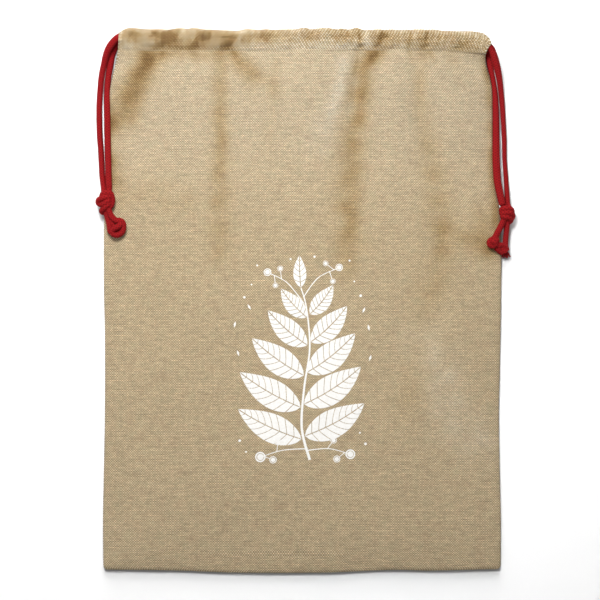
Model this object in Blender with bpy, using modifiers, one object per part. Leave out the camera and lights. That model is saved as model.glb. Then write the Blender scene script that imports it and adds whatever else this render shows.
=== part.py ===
"""A burlap drawstring sack lying on its back: two cloth panels, two drawcords and their knots.

Metres. +X is the bag's right, +Y runs from its foot to its mouth, and +Z is up from the surface
that it lies on. The origin is under the middle of the bag.
"""

import math
from collections import namedtuple

import bmesh
import bpy
from mathutils import Vector

# Driving dimensions
CLOTH = 0.0012  # thickness of one layer of burlap
CORD = 0.0066  # diameter of the soft round drawcord
GAP = 0.0003  # what touching pieces keep between them
STITCH = 0.3139  # how far up the casing's stitch line lies
CASING_HALF = 0.0049  # from the middle of the cord in a casing to that casing's outer face
BACK_CORD = 0.0049  # height of the cords in the back casing
FRONT_CORD = 0.0209  # height of the cords in the front casing
CROWN = 0.0165  # height of the bag's plump middle
CORNER = 0.008  # radius of the two bottom corners
SEAM = 0.0024  # height of the side and bottom seams where the bag lies flat
SEAM_TOP = 0.0105  # height of the side seams just below the casing
SEAM_APART = 0.0007  # how far the front's cloth starts above the seam, clear of the back's
ROLL = 0.0027  # how far the front cloth rolls up over its seams
ROLL_WIDTH = 0.0042
SLOPE = 0.052  # over how much width the front rises to its crown
SLOPE_STEEPENS = 0.5  # by this share where the front rises to its casing
FOLD_FADE = 0.012  # over how much width the folds die out at the seams
FRONT_HEAD = 0.0014  # how far the front's cloth meets its casing above the cord's middle
BACK_CURL = 0.0022  # the least width over which the back curls up to its seams
BACK_CURL_SHARE = 1.3  # its width where the seams are high, as a share of their height
BACK_UNDER = 0.0004  # how far the back's edge stays below the seam line
RUFFLE = 0.0030  # how far the casing's gathers stand over its dimples
WALL_LEFT = -0.2010  # where the casing's folded-over walls end, inside its open ends
WALL_RIGHT = 0.2030

# Stretches of the bag's length over which one form turns into another
Span = namedtuple("Span", "start length")
SEAM_RISES = Span(0.225, 0.075)  # the side seams rise between the casings
FRONT_RISES = Span(0.165, STITCH - 0.165)  # the front rises to its casing
FRONT_PARTS = Span(0.298, 0.018)  # the front leaves the seams, and the mouth opens
BACK_PARTS = Span(0.293, 0.013)  # the back does
COLUMNS_EVEN = Span(0.262, 0.030)  # the seam columns spread, as the seams end
BACK_NARROWS = Span(0.285, 0.020)  # the back's sides draw in to its casing's ends

# Where the edges of the bag lie. Each table's first column runs upwards.
Edge = namedtuple("Edge", "y x")
LEFT_EDGE = [
    Edge(-0.336, -0.2496),
    Edge(-0.276, -0.2500),
    Edge(-0.210, -0.2488),
    Edge(-0.140, -0.2476),
    Edge(-0.040, -0.2476),
    Edge(0.010, -0.2488),
    Edge(0.090, -0.2488),
    Edge(0.160, -0.2462),
    Edge(0.240, -0.2425),
    Edge(0.270, -0.2404),
    Edge(0.302, -0.2338),
    Edge(0.316, -0.2303),
    Edge(0.336, -0.2290),
]
RIGHT_EDGE = [
    Edge(-0.336, 0.2492),
    Edge(-0.276, 0.2494),
    Edge(-0.220, 0.2482),
    Edge(-0.140, 0.2470),
    Edge(-0.080, 0.2484),
    Edge(0.050, 0.2500),
    Edge(0.101, 0.2480),
    Edge(0.135, 0.2425),
    Edge(0.180, 0.2400),
    Edge(0.250, 0.2392),
    Edge(0.277, 0.2368),
    Edge(0.298, 0.2318),
    Edge(0.309, 0.2310),
    Edge(0.3165, 0.2340),
    Edge(0.322, 0.2378),
    Edge(0.3275, 0.2358),
    Edge(0.336, 0.2275),
]
Level = namedtuple("Level", "x y")
TOP_EDGE = [
    Level(-0.229, 0.3365),
    Level(-0.224, 0.3395),
    Level(-0.2125, 0.3414),
    Level(-0.2050, 0.3396),
    Level(-0.1900, 0.3414),
    Level(-0.1780, 0.3391),
    Level(-0.1440, 0.3416),
    Level(-0.1215, 0.3402),
    Level(-0.0915, 0.3385),
    Level(-0.0665, 0.3398),
    Level(-0.0460, 0.3389),
    Level(0.0090, 0.3410),
    Level(0.0370, 0.3413),
    Level(0.0570, 0.3398),
    Level(0.0695, 0.3413),
    Level(0.0820, 0.3390),
    Level(0.1185, 0.3386),
    Level(0.1450, 0.3400),
    Level(0.1740, 0.3388),
    Level(0.1955, 0.3366),
    Level(0.2255, 0.3356),
    Level(0.2340, 0.3330),
]
WALL_TOP = [
    Level(-0.201, 0.3391),
    Level(0.120, 0.3389),
    Level(0.203, 0.3367),
]
STITCH_LINE = [
    Level(-0.230, STITCH + 0.0022),
    Level(-0.195, STITCH),
    Level(0.165, STITCH),
    Level(0.231, STITCH - 0.0042),
]
BOTTOM_EDGE = [
    Level(-0.247, -0.3377),
    Level(-0.153, -0.3390),
    Level(-0.085, -0.3415),
    Level(0.030, -0.3415),
    Level(0.088, -0.3390),
    Level(0.124, -0.3381),
    Level(0.161, -0.3390),
    Level(0.244, -0.3372),
]

# The folds that run down the front from its casing. Each lies along points from its head to its
# foot, where its depth and half width change evenly. A negative depth is a ridge.
Fold = namedtuple("Fold", "points depth foot_depth half_width foot_half_width")
FOLDS = [
    Fold([(0.0735, 0.316), (0.0645, 0.240), (0.0607, 0.186), (0.0545, 0.101), (0.0545, 0.005)],
         0.0062, 0.0008, 0.0100, 0.0230),
    Fold([(-0.1016, 0.316), (-0.1028, 0.248), (-0.1054, 0.186), (-0.1080, 0.120)],
         0.0040, 0.0005, 0.0095, 0.0150),
    Fold([(-0.1800, 0.322), (-0.1997, 0.294), (-0.2123, 0.256), (-0.2240, 0.215)],
         0.0042, 0.0010, 0.0140, 0.0150),
    Fold([(-0.0865, 0.320), (-0.0664, 0.289), (-0.0540, 0.268)], 0.0028, 0.0004, 0.0090, 0.0100),
    Fold([(0.0990, 0.320), (0.0900, 0.288)], 0.0030, 0.0004, 0.0090, 0.0100),
    Fold([(0.1462, 0.316), (0.1462, 0.243), (0.1576, 0.186), (0.1701, 0.143), (0.1739, 0.080),
          (0.1701, 0.017), (0.1613, -0.037), (0.1362, -0.091)], 0.0036, 0.0008, 0.0140, 0.0260),
    Fold([(0.1850, 0.312), (0.2079, 0.268)], 0.0020, 0.0004, 0.0110, 0.0120),
    Fold([(-0.2270, 0.160), (-0.2274, 0.130)], 0.0016, 0.0010, 0.0140, 0.0140),
    Fold([(0.1865, -0.050), (0.1110, -0.192)], -0.0018, -0.0006, 0.0240, 0.0300),
    Fold([(0.0230, 0.300), (0.0200, 0.180)], -0.0026, -0.0006, 0.0300, 0.0300),
    Fold([(0.1120, 0.300), (0.1120, 0.065)], -0.0022, -0.0006, 0.0200, 0.0260),
    Fold([(-0.1500, 0.300), (-0.1480, 0.145)], -0.0020, -0.0006, 0.0260, 0.0300),
]
# The dimples between the gathers of the casing
Dimple = namedtuple("Dimple", "x depth half_width")
DIMPLES = [
    Dimple(-0.2040, 0.5, 0.008),
    Dimple(-0.1745, 1.0, 0.011),
    Dimple(-0.1530, 0.7, 0.007),
    Dimple(-0.1330, 0.9, 0.008),
    Dimple(-0.0930, 1.0, 0.011),
    Dimple(-0.0640, 0.5, 0.008),
    Dimple(-0.0400, 0.5, 0.008),
    Dimple(0.0000, 0.3, 0.010),
    Dimple(0.0480, 0.4, 0.008),
    Dimple(0.0770, 1.0, 0.009),
    Dimple(0.1035, 0.9, 0.008),
    Dimple(0.1350, 0.8, 0.009),
    Dimple(0.1630, 0.7, 0.008),
    Dimple(0.2080, 0.7, 0.011),
]

# One row of the cloth for each line across a panel. Its place is measured from the bottom edge,
# as a level, from the stitch line or from the top edge; out is how far the casing's face stands
# from the middle of its cords. Fine rows have twice the columns, and folded ones are the wall
# that the cloth makes behind the cords.
Row = namedtuple("Row", "start distance out fine folded", defaults=(None, False, False))
FRONT_ROWS = [
    Row("bottom", 0.0),
    Row("bottom", 0.0004),
    Row("bottom", 0.0015),
    Row("bottom", 0.0042),
    Row("bottom", 0.0120),
    Row("bottom", 0.0340),
    Row("level", -0.260),
    Row("level", -0.200),
    Row("level", -0.145),
    Row("level", -0.095),
    Row("level", -0.050),
    Row("level", -0.005),
    Row("level", 0.040),
    Row("level", 0.085),
    Row("level", 0.125),
    Row("level", 0.160),
    Row("level", 0.195),
    Row("level", 0.225),
    Row("level", 0.250),
    Row("level", 0.270),
    Row("stitch", -0.0280),
    Row("stitch", -0.0160, fine=True),
    Row("stitch", -0.0070, fine=True),
    Row("stitch", -0.0020, fine=True),
    Row("stitch", 0.0, 0.0014, True),
    Row("stitch", 0.0025, 0.0035, True),
    Row("stitch", 0.0065, CASING_HALF, True),
    Row("top", 0.0110, CASING_HALF, True),
    Row("top", 0.0060, CASING_HALF, True),
    Row("top", 0.0018, 0.0031, True),
    Row("top", 0.0, 0.0),
    Row("top", 0.0016, -0.0034, folded=True),
    Row("top", 0.0060, -CASING_HALF, folded=True),
    Row("stitch", 0.0075, -CASING_HALF, folded=True),
    Row("stitch", 0.0038, -0.0040, folded=True),
    Row("stitch", 0.0012, -0.0021, folded=True),
]
BACK_ROWS = [
    Row("bottom", 0.0),
    Row("bottom", 0.0004),
    Row("bottom", 0.0015),
    Row("bottom", 0.0042),
    Row("bottom", 0.0200),
    Row("level", -0.200),
    Row("level", -0.080),
    Row("level", 0.040),
    Row("level", 0.140),
    Row("level", 0.200),
    Row("level", 0.235),
    Row("level", 0.265),
    Row("stitch", -0.0280),
    Row("stitch", -0.0140),
    Row("stitch", -0.0050),
    Row("stitch", 0.0040, CASING_HALF),
    Row("top", 0.0060, CASING_HALF),
    Row("top", 0.0018, 0.0033),
    Row("top", 0.0, 0.0),
    Row("top", 0.0018, -0.0033, folded=True),
    Row("top", 0.0060, -CASING_HALF, folded=True),
    Row("stitch", 0.0075, -CASING_HALF, folded=True),
    Row("stitch", 0.0036, -0.0034, folded=True),
    Row("stitch", 0.0006, 0.0004, folded=True),
    Row("stitch", -0.0030, 0.0021, folded=True),
]
BACK_TOP_INSET = 0.0016  # how far the back's top edge lies below the front's
BACK_SIDE_INSET = 0.0007  # how far the back's sides lie inside the front's
BACK_END_INSET = 0.0026  # how far the ends of its casing lie inside the front's, over that
# Columns of cloth near a side seam, measured from it
SEAM_COLUMNS = [0.0, 0.0004, 0.0015, 0.0042, 0.0110]
FRONT_COLUMNS = 38
BACK_COLUMNS = 18

# The cords' routes, from one knot round through both casings to the same knot again
LEFT_ROUTE = [
    (-0.2494, 0.1440, 0.0076),
    (-0.2514, 0.1600, 0.0052),
    (-0.2522, 0.1767, 0.0036),
    (-0.2532, 0.1934, 0.0034),
    (-0.2544, 0.2085, 0.0034),
    (-0.2549, 0.2422, 0.0034),
    (-0.2536, 0.2711, 0.0036),
    (-0.2520, 0.2854, 0.0050),
    (-0.2500, 0.2951, 0.0076),
    (-0.2471, 0.3096, 0.0130),
    (-0.2440, 0.3192, 0.0168),
    (-0.2385, 0.3273, 0.0196),
    (-0.2310, 0.3313, 0.0207),
    (-0.2200, 0.3323, 0.0209),
    (-0.1900, 0.3325, 0.0209),
    (-0.1400, 0.3325, 0.0209),
    (-0.0900, 0.3316, 0.0209),
    (-0.0400, 0.3323, 0.0209),
    (0.0200, 0.3325, 0.0209),
    (0.0900, 0.3316, 0.0209),
    (0.1500, 0.3318, 0.0209),
    (0.1850, 0.3302, 0.0209),
    (0.2020, 0.3287, 0.0209),
    (0.2110, 0.3280, 0.0209),
    (0.2165, 0.3276, 0.0185),
    (0.2190, 0.3276, 0.0129),
    (0.2165, 0.3276, 0.0073),
    (0.2110, 0.3280, 0.0049),
    (0.2020, 0.3281, 0.0049),
    (0.1850, 0.3290, 0.0049),
    (0.1500, 0.3300, 0.0049),
    (0.0900, 0.3302, 0.0049),
    (0.0200, 0.3310, 0.0049),
    (-0.0400, 0.3306, 0.0049),
    (-0.0900, 0.3304, 0.0049),
    (-0.1400, 0.3310, 0.0049),
    (-0.1900, 0.3306, 0.0049),
    (-0.2130, 0.3308, 0.0049),
    (-0.2230, 0.3286, 0.0050),
    (-0.2303, 0.3236, 0.0050),
    (-0.2356, 0.3175, 0.0046),
    (-0.2392, 0.3086, 0.0038),
    (-0.2422, 0.2951, 0.0034),
    (-0.2447, 0.2807, 0.0034),
    (-0.2462, 0.2662, 0.0034),
    (-0.2470, 0.2469, 0.0034),
    (-0.2472, 0.2277, 0.0052),
    (-0.2457, 0.2045, 0.0082),
    (-0.2446, 0.1877, 0.0090),
    (-0.2437, 0.1710, 0.0100),
    (-0.2430, 0.1560, 0.0107),
    (-0.2423, 0.1427, 0.0114),
]
RIGHT_ROUTE = [
    (0.2595, 0.1205, 0.0062),
    (0.2594, 0.1341, 0.0044),
    (0.2584, 0.1498, 0.0035),
    (0.2570, 0.1654, 0.0034),
    (0.2560, 0.1805, 0.0034),
    (0.2554, 0.2037, 0.0034),
    (0.2554, 0.2182, 0.0034),
    (0.2548, 0.2374, 0.0034),
    (0.2536, 0.2519, 0.0037),
    (0.2516, 0.2662, 0.0054),
    (0.2496, 0.2807, 0.0088),
    (0.2468, 0.2951, 0.0128),
    (0.2424, 0.3096, 0.0170),
    (0.2372, 0.3180, 0.0196),
    (0.2290, 0.3206, 0.0207),
    (0.2170, 0.3207, 0.0209),
    (0.2020, 0.3212, 0.0209),
    (0.1850, 0.3222, 0.0209),
    (0.1500, 0.3236, 0.0209),
    (0.0900, 0.3240, 0.0209),
    (0.0200, 0.3240, 0.0209),
    (-0.0400, 0.3238, 0.0209),
    (-0.0900, 0.3236, 0.0209),
    (-0.1400, 0.3240, 0.0209),
    (-0.1800, 0.3238, 0.0209),
    (-0.2020, 0.3236, 0.0209),
    (-0.2100, 0.3234, 0.0209),
    (-0.2158, 0.3232, 0.0185),
    (-0.2182, 0.3231, 0.0129),
    (-0.2158, 0.3232, 0.0073),
    (-0.2100, 0.3234, 0.0049),
    (-0.2020, 0.3236, 0.0049),
    (-0.1800, 0.3232, 0.0049),
    (-0.1400, 0.3230, 0.0049),
    (-0.0900, 0.3228, 0.0049),
    (-0.0400, 0.3230, 0.0049),
    (0.0200, 0.3232, 0.0049),
    (0.0900, 0.3230, 0.0049),
    (0.1500, 0.3229, 0.0049),
    (0.1850, 0.3217, 0.0049),
    (0.2020, 0.3208, 0.0049),
    (0.2170, 0.3204, 0.0050),
    (0.2282, 0.3186, 0.0051),
    (0.2340, 0.3132, 0.0050),
    (0.2356, 0.3050, 0.0045),
    (0.2378, 0.2915, 0.0037),
    (0.2407, 0.2760, 0.0034),
    (0.2430, 0.2614, 0.0034),
    (0.2444, 0.2469, 0.0034),
    (0.2450, 0.2277, 0.0034),
    (0.2452, 0.2085, 0.0034),
    (0.2456, 0.1810, 0.0034),
    (0.2466, 0.1654, 0.0036),
    (0.2482, 0.1498, 0.0052),
    (0.2510, 0.1341, 0.0082),
    (0.2532, 0.1205, 0.0098),
]
# Each knot takes in both ends of its cord. The strands go on through it, as tails, to the points
# given here, and the wraps are turns of cord about them.
Wrap = namedtuple("Wrap", "middle axis across deep turns rise")
LEFT_TAILS = [
    [(-0.2480, 0.1310, 0.0128), (-0.2494, 0.1205, 0.0143), (-0.2488, 0.1090, 0.0128),
     (-0.2464, 0.0990, 0.0122), (-0.2427, 0.0915, 0.0142), (-0.2387, 0.0874, 0.0157),
     (-0.2347, 0.0842, 0.0159)],
    [(-0.2440, 0.1310, 0.0140), (-0.2445, 0.1210, 0.0152), (-0.2430, 0.1120, 0.0152),
     (-0.2375, 0.1040, 0.0153), (-0.2305, 0.0969, 0.0166), (-0.2262, 0.0932, 0.0168)],
]
LEFT_WRAPS = [
    Wrap((-0.2472, 0.1225, 0.0153), (-0.10, -1.0, 0.0), 0.0088, 0.0056, 2.1, 0.0185),
    Wrap((-0.2305, 0.0969, 0.0166), (0.75, -0.66, 0.0), 0.0042, 0.0038, 1.0, 0.0068),
    Wrap((-0.2387, 0.0874, 0.0157), (0.75, -0.66, 0.0), 0.0042, 0.0038, 1.0, 0.0068),
]
RIGHT_TAILS = [
    [(0.2600, 0.1110, 0.0086), (0.2602, 0.1020, 0.0088), (0.2594, 0.0930, 0.0072),
     (0.2580, 0.0800, 0.0052), (0.2576, 0.0700, 0.0074), (0.2582, 0.0635, 0.0084),
     (0.2606, 0.0570, 0.0070)],
    [(0.2556, 0.1110, 0.0104), (0.2562, 0.1030, 0.0108), (0.2532, 0.0965, 0.0102),
     (0.2482, 0.0880, 0.0106), (0.2430, 0.0785, 0.0130), (0.2389, 0.0717, 0.0151),
     (0.2363, 0.0672, 0.0152)],
]
RIGHT_WRAPS = [
    Wrap((0.2586, 0.1072, 0.0095), (-0.08, -1.0, 0.04), 0.0064, 0.0054, 1.6, 0.0132),
    Wrap((0.2582, 0.0635, 0.0084), (0.30, -0.95, 0.0), 0.0042, 0.0038, 1.0, 0.0068),
    Wrap((0.2391, 0.0718, 0.0151), (-0.50, -0.86, 0.06), 0.0042, 0.0038, 1.0, 0.0069),
]
FOLD_FALL = 1.4  # how steeply a fold's sides fall
CREASE = 50  # degrees: steeper edges of the cloth look sharp
LEAST = 1e-6  # the least distance that the smooth curves work with
WELD = 1e-6
ROUTE_FINE = 12  # steps between two points of a route, before it is cut evenly
TAIL_LEAD = 0.6  # how far a tail runs straight on from its strand, in cord diameters
WRAP_EASE = 5.0  # turns' ends widen to their full reach over one part in this many of a turn
WRAP_STEPS = 11  # points to one turn of a wrap
WRAP_TUCK = 0.4  # how near the strands a wrap starts and ends, as a share of its radius
CORD_STEP = 2.9  # between points along a cord, in its diameters
TAIL_STEP = 1.1  # the same through a knot and its tails
CORD_SIDES = 2  # the bevel resolution that gives a cord's tube eight sides

# The colours, linear
TAN = (0.50, 0.40, 0.27, 1.0)
TAN_BACK = (0.45, 0.35, 0.23, 1.0)
RED = (0.38, 0.010, 0.014, 1.0)


def ease(t):
    """0 to 1 with a soft start and end."""
    t = min(max(t, 0.0), 1.0)
    return t * t * (3.0 - 2.0 * t)


def over(span, y):
    """0 to 1 along a stretch of the bag's length."""
    return ease((y - span.start) / span.length)


def along(table, at):
    """The smooth curve through a table's rows of (place, value), read at one place."""
    rows = [tuple(row) for row in table]
    if at <= rows[0][0]:
        return rows[0][1]
    if at >= rows[-1][0]:
        return rows[-1][1]
    i = next(k for k in range(len(rows) - 1) if at <= rows[k + 1][0])
    (x0, y0), (x1, y1) = rows[i], rows[i + 1]
    step = (y1 - y0) / (x1 - x0)
    before = step if i == 0 else (y1 - rows[i - 1][1]) / (x1 - rows[i - 1][0])
    after = step if i + 2 == len(rows) else (rows[i + 2][1] - y0) / (rows[i + 2][0] - x0)
    t = (at - x0) / (x1 - x0)
    width = x1 - x0
    rise = t * t * (3.0 - 2.0 * t)
    return (y0 + (y1 - y0) * rise + width * before * t * (1 - t) ** 2
            - width * after * t * t * (1 - t))


def fold_relief(x, y):
    """How far the folds sink the front cloth here."""
    sunk = 0.0
    for fold in FOLDS:
        best = None
        count = len(fold.points) - 1
        for k in range(count):
            ax, ay = fold.points[k]
            bx, by = fold.points[k + 1]
            length_2 = (bx - ax) ** 2 + (by - ay) ** 2
            t = min(max(((x - ax) * (bx - ax) + (y - ay) * (by - ay)) / length_2, 0.0), 1.0)
            away = math.hypot(x - ax - t * (bx - ax), y - ay - t * (by - ay))
            if best is None or away < best[0]:
                best = (away, (k + t) / count)
        share = best[1]
        depth = fold.depth + (fold.foot_depth - fold.depth) * share
        half_width = fold.half_width + (fold.foot_half_width - fold.half_width) * share
        sunk += depth * math.exp(-((best[0] / half_width) ** 2) * FOLD_FALL)
    return sunk


def gathers(x):
    """How far the casing's outer face stands out here: 0 in a dimple, 1 on a gather."""
    pressed = sum(d.depth * math.exp(-(((x - d.x) / d.half_width) ** 2)) for d in DIMPLES)
    return max(1.0 - pressed, 0.0)


def seam_height(y):
    """The height of the side seams, which rise between the two casings."""
    return SEAM + (SEAM_TOP - SEAM) * over(SEAM_RISES, y)


def inward(side, foot):
    """How far inside the bag's rim a point lies, rounding the corners."""
    side, foot = max(side, LEAST), max(foot, LEAST)
    return (side ** -3 + foot ** -3) ** (-1.0 / 3.0)


def front_height(x, y, side, foot):
    """The outer face of the front panel at a point this far from a side and from the foot."""
    opened = over(FRONT_PARTS, y)
    edge = seam_height(y) + SEAM_APART + (FRONT_CORD - SEAM_TOP) * opened
    near = inward(side, foot)
    rolled = ROLL * math.sqrt(1.0 - (1.0 - min(near / ROLL_WIDTH, 1.0)) ** 2)
    lifted = over(FRONT_RISES, y)
    middle = CROWN + (FRONT_CORD + FRONT_HEAD - CROWN) * lifted
    slope = SLOPE * (1.0 - SLOPE_STEEPENS * lifted)
    height = edge + (1.0 - opened) * rolled
    height += (middle - height) * (1.0 - math.exp(-near / slope))
    return height - fold_relief(x, y) * (1.0 - math.exp(-near / FOLD_FADE))


def back_height(y, side, foot):
    """The outer face of the back panel: flat on the surface, curling up to its seams."""
    edge = (seam_height(y) - BACK_UNDER) * (1.0 - over(BACK_PARTS, y))
    near = inward(side, foot)
    width = max(BACK_CURL, BACK_CURL_SHARE * edge)
    return edge * (1.0 - math.sqrt(1.0 - (1.0 - min(near / width, 1.0)) ** 2))


def columns(count):
    """(key, place) for each column: a seam column is a distance in from its side, and the others
    are shares of the width. Even keys run through every row, odd ones through the fine rows."""
    seam = len(SEAM_COLUMNS)
    placed = [(2 * k, ("left", d)) for k, d in enumerate(SEAM_COLUMNS)]
    first = 2 * (seam - 1)
    for k in range(1, 2 * count):
        placed.append((first + k, ("share", k / (2.0 * count))))
    last = first + 2 * count
    placed += [(last + 2 * k, ("right", d)) for k, d in enumerate(reversed(SEAM_COLUMNS))]
    return placed


def column_x(place, left, right, spread):
    """A column's place across a row. The seam columns spread evenly where the seam ends."""
    kind, value = place
    inset = SEAM_COLUMNS[-1]
    if kind == "share":
        return left + inset + value * (right - left - 2.0 * inset)
    even = inset * SEAM_COLUMNS.index(value) / (len(SEAM_COLUMNS) - 1)
    value += (even - value) * spread
    return left + value if kind == "left" else right - value


def row_y(row, x, is_back):
    if row.start == "bottom":
        return along(BOTTOM_EDGE, x) + row.distance
    if row.start == "level":
        return row.distance
    if row.start == "stitch":
        return along(STITCH_LINE, x) + row.distance
    top = along(WALL_TOP if row.folded else TOP_EDGE, x)
    return top - row.distance - (BACK_TOP_INSET if is_back else 0.0)


def corner_inset(foot):
    """How far a bottom corner is rounded in at this height over the foot."""
    short = max(CORNER - foot, 0.0)
    return CORNER - math.sqrt(CORNER ** 2 - short ** 2)


def panel_point(row, place, is_back):
    """Where one point of a panel's outer face lies."""
    middle_y = row_y(row, 0.0, is_back)
    foot = row.distance if row.start == "bottom" else CORNER
    inset = corner_inset(foot)
    if is_back:
        inset += BACK_SIDE_INSET + BACK_END_INSET * over(BACK_NARROWS, middle_y)
    left = along(LEFT_EDGE, middle_y) + inset
    right = along(RIGHT_EDGE, middle_y) - inset
    if row.folded:
        left, right = WALL_LEFT, WALL_RIGHT
    x = column_x(place, left, right, over(COLUMNS_EVEN, middle_y))
    y = row_y(row, x, is_back)
    if row.out is None:
        side = min(x - left, right - x)
        foot = y - along(BOTTOM_EDGE, x)
        z = back_height(y, side, foot) if is_back else front_height(x, y, side, foot)
        return (x, y, z)
    if is_back:
        return (x, y, BACK_CORD - row.out)
    ruffle = RUFFLE * gathers(x) * max(row.out / CASING_HALF, 0.0) ** 2
    return (x, y, FRONT_CORD + row.out + ruffle)


def panel(name, rows, count, is_back, material):
    """A cut of cloth as a closed sheet, from its foot over its casing to the end of its hem."""
    mesh = bmesh.new()
    placed = columns(count)
    lines = []
    for row in rows:
        kept = [(key, place) for key, place in placed if row.fine or key % 2 == 0]
        lines.append({key: mesh.verts.new(panel_point(row, place, is_back)) for key, place in kept})
    keys = sorted(lines[0])
    for low, high in zip(lines, lines[1:]):
        for a in keys[:-1]:
            below = [low[k] for k in (a, a + 1, a + 2) if k in low]
            above = [high[k] for k in (a, a + 1, a + 2) if k in high]
            if len(below) == len(above):
                for k in range(len(below) - 1):
                    mesh.faces.new((below[k], below[k + 1], above[k + 1], above[k]))
                continue
            ring = below + above[::-1]
            hub = (below if len(below) == 3 else above)[1]
            turn = ring.index(hub)
            ring = ring[turn + 1:] + ring[:turn]
            for p, q in zip(ring, ring[1:]):
                mesh.faces.new((hub, p, q))
    if is_back:
        bmesh.ops.reverse_faces(mesh, faces=mesh.faces)
    data = bpy.data.meshes.new(name)
    mesh.to_mesh(data)
    mesh.free()
    sheet = add(name, data, material)
    solid = sheet.modifiers.new("Cloth", "SOLIDIFY")
    solid.thickness = CLOTH
    solid.offset = -1.0
    solid.use_rim = True
    data.shade_smooth()
    data.set_sharp_from_angle(angle=math.radians(CREASE))
    return sheet


def smooth_route(points, step):
    """Points a step apart on the smooth curve through a route's own points."""
    points = [Vector(p) for p in points]
    fine = []
    for k in range(len(points) - 1):
        before = points[max(k - 1, 0)]
        a, b = points[k], points[k + 1]
        after = points[min(k + 2, len(points) - 1)]
        for n in range(ROUTE_FINE):
            t = n / ROUTE_FINE
            fine.append(0.5 * (2 * a + (b - before) * t
                               + (2 * before - 5 * a + 4 * b - after) * t * t
                               + (3 * a - before - 3 * b + after) * t ** 3))
    fine.append(points[-1])
    total = sum((q - p).length for p, q in zip(fine, fine[1:]))
    count = max(round(total / step), 2)
    spaced = [fine[0]]
    run = 0.0
    for p, q in zip(fine, fine[1:]):
        length = (q - p).length
        while len(spaced) < count and run + length >= total * len(spaced) / count:
            spaced.append(p.lerp(q, (total * len(spaced) / count - run) / length))
        run += length
    return spaced + [fine[-1]]


def tube(name, points, diameter):
    """A round tube along points, as a curve object."""
    curve = bpy.data.curves.new(name, "CURVE")
    curve.dimensions = "3D"
    curve.bevel_depth = diameter / 2.0
    curve.bevel_resolution = CORD_SIDES
    curve.use_fill_caps = True
    spline = curve.splines.new("POLY")
    spline.points.add(len(points) - 1)
    for point, place in zip(spline.points, points):
        point.co = (*place, 1.0)
    return curve


def wrap_points(wrap):
    """Turns of cord about a knot's strands, both ends tucked in."""
    axis = Vector(wrap.axis).normalized()
    up = Vector((0.0, 0.0, 1.0))
    side = axis.cross(up).normalized()
    count = round(wrap.turns * WRAP_STEPS)
    points = []
    for n in range(count + 1):
        turn = wrap.turns * n / count
        widened = WRAP_EASE * min(turn, wrap.turns - turn)
        reach = min(1.0, WRAP_TUCK + (1.0 - WRAP_TUCK) * widened)
        angle = 2.0 * math.pi * turn
        points.append(Vector(wrap.middle)
                      + axis * wrap.rise * (n / count - 0.5)
                      + side * wrap.across * reach * math.cos(angle)
                      + up * wrap.deep * reach * math.sin(angle))
    return points


def as_mesh(name, curve):
    """A tube's mesh, its caps welded on."""
    holder = add(name + "_curve", curve, None, "cutters")
    evaluated = holder.evaluated_get(bpy.context.evaluated_depsgraph_get())
    data = bpy.data.meshes.new_from_object(evaluated)
    data.name = name
    bpy.data.objects.remove(holder)
    mesh = bmesh.new()
    mesh.from_mesh(data)
    bmesh.ops.remove_doubles(mesh, verts=mesh.verts, dist=WELD)
    bmesh.ops.recalc_face_normals(mesh, faces=mesh.faces)
    mesh.to_mesh(data)
    mesh.free()
    return data


def knot(name, route, tails, wraps, material):
    """Both strands of a cord tied together: tails through turns of cord, joined as one body."""
    paths = []
    run = smooth_route(route, CORD_STEP * CORD)
    for end, before, tail in ((run[0], run[1], tails[0]), (run[-1], run[-2], tails[1])):
        onward = (end - before).normalized()
        start = end + onward * GAP
        lead = start + onward * CORD * TAIL_LEAD
        paths.append([start] + smooth_route([lead] + tail, TAIL_STEP * CORD))
    paths += [wrap_points(wrap) for wrap in wraps]
    whole = None
    for k, path in enumerate(paths):
        data = as_mesh(f"{name}_{k}", tube(f"{name}_{k}", path, CORD))
        if whole is None:
            whole = add(name, data, material)
            continue
        other = add(f"{name}_{k}", data, None, "cutters")
        other.hide_render = True
        other.display_type = "WIRE"
        union = whole.modifiers.new(f"Join {k}", "BOOLEAN")
        union.operation = "UNION"
        union.solver = "MANIFOLD"
        union.object = other
    whole.data.shade_smooth()


def add(name, data, material, collection="burlap_bag"):
    obj = bpy.data.objects.new(name, data)
    bpy.data.collections[collection].objects.link(obj)
    if material:
        data.materials.append(material)
    return obj


def cloth_or_cord(name, colour, roughness):
    material = bpy.data.materials.new(name)
    material.use_nodes = True
    shader = material.node_tree.nodes["Principled BSDF"]
    shader.inputs["Base Color"].default_value = colour
    shader.inputs["Roughness"].default_value = roughness
    shader.inputs["Metallic"].default_value = 0.0
    return material


def clear_scene():
    for obj in list(bpy.data.objects):
        bpy.data.objects.remove(obj)
    for name in ("burlap_bag", "cutters"):
        bpy.context.scene.collection.children.link(bpy.data.collections.new(name))


def build():
    clear_scene()
    panel("front_panel", FRONT_ROWS, FRONT_COLUMNS, False, cloth_or_cord("burlap", TAN, 0.9))
    panel("back_panel", BACK_ROWS, BACK_COLUMNS, True, cloth_or_cord("burlap_back", TAN_BACK, 0.9))
    red = cloth_or_cord("red_cord", RED, 0.8)
    for side, route, tails, wraps in (("left", LEFT_ROUTE, LEFT_TAILS, LEFT_WRAPS),
                                      ("right", RIGHT_ROUTE, RIGHT_TAILS, RIGHT_WRAPS)):
        name = f"drawcord_{side}"
        add(name, tube(name, smooth_route(route, CORD_STEP * CORD), CORD), red)
        knot(f"knot_{side}", route, tails, wraps, red)


build()
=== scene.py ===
"""The looks of a burlap drawstring sack lying on its back.

Metres, in the frame of its solids: +X is the bag's right, +Y runs from its foot to its mouth and
+Z is up from the floor. The cloth, the cords and the knots here replace their solids.
"""

import math
from collections import namedtuple

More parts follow.
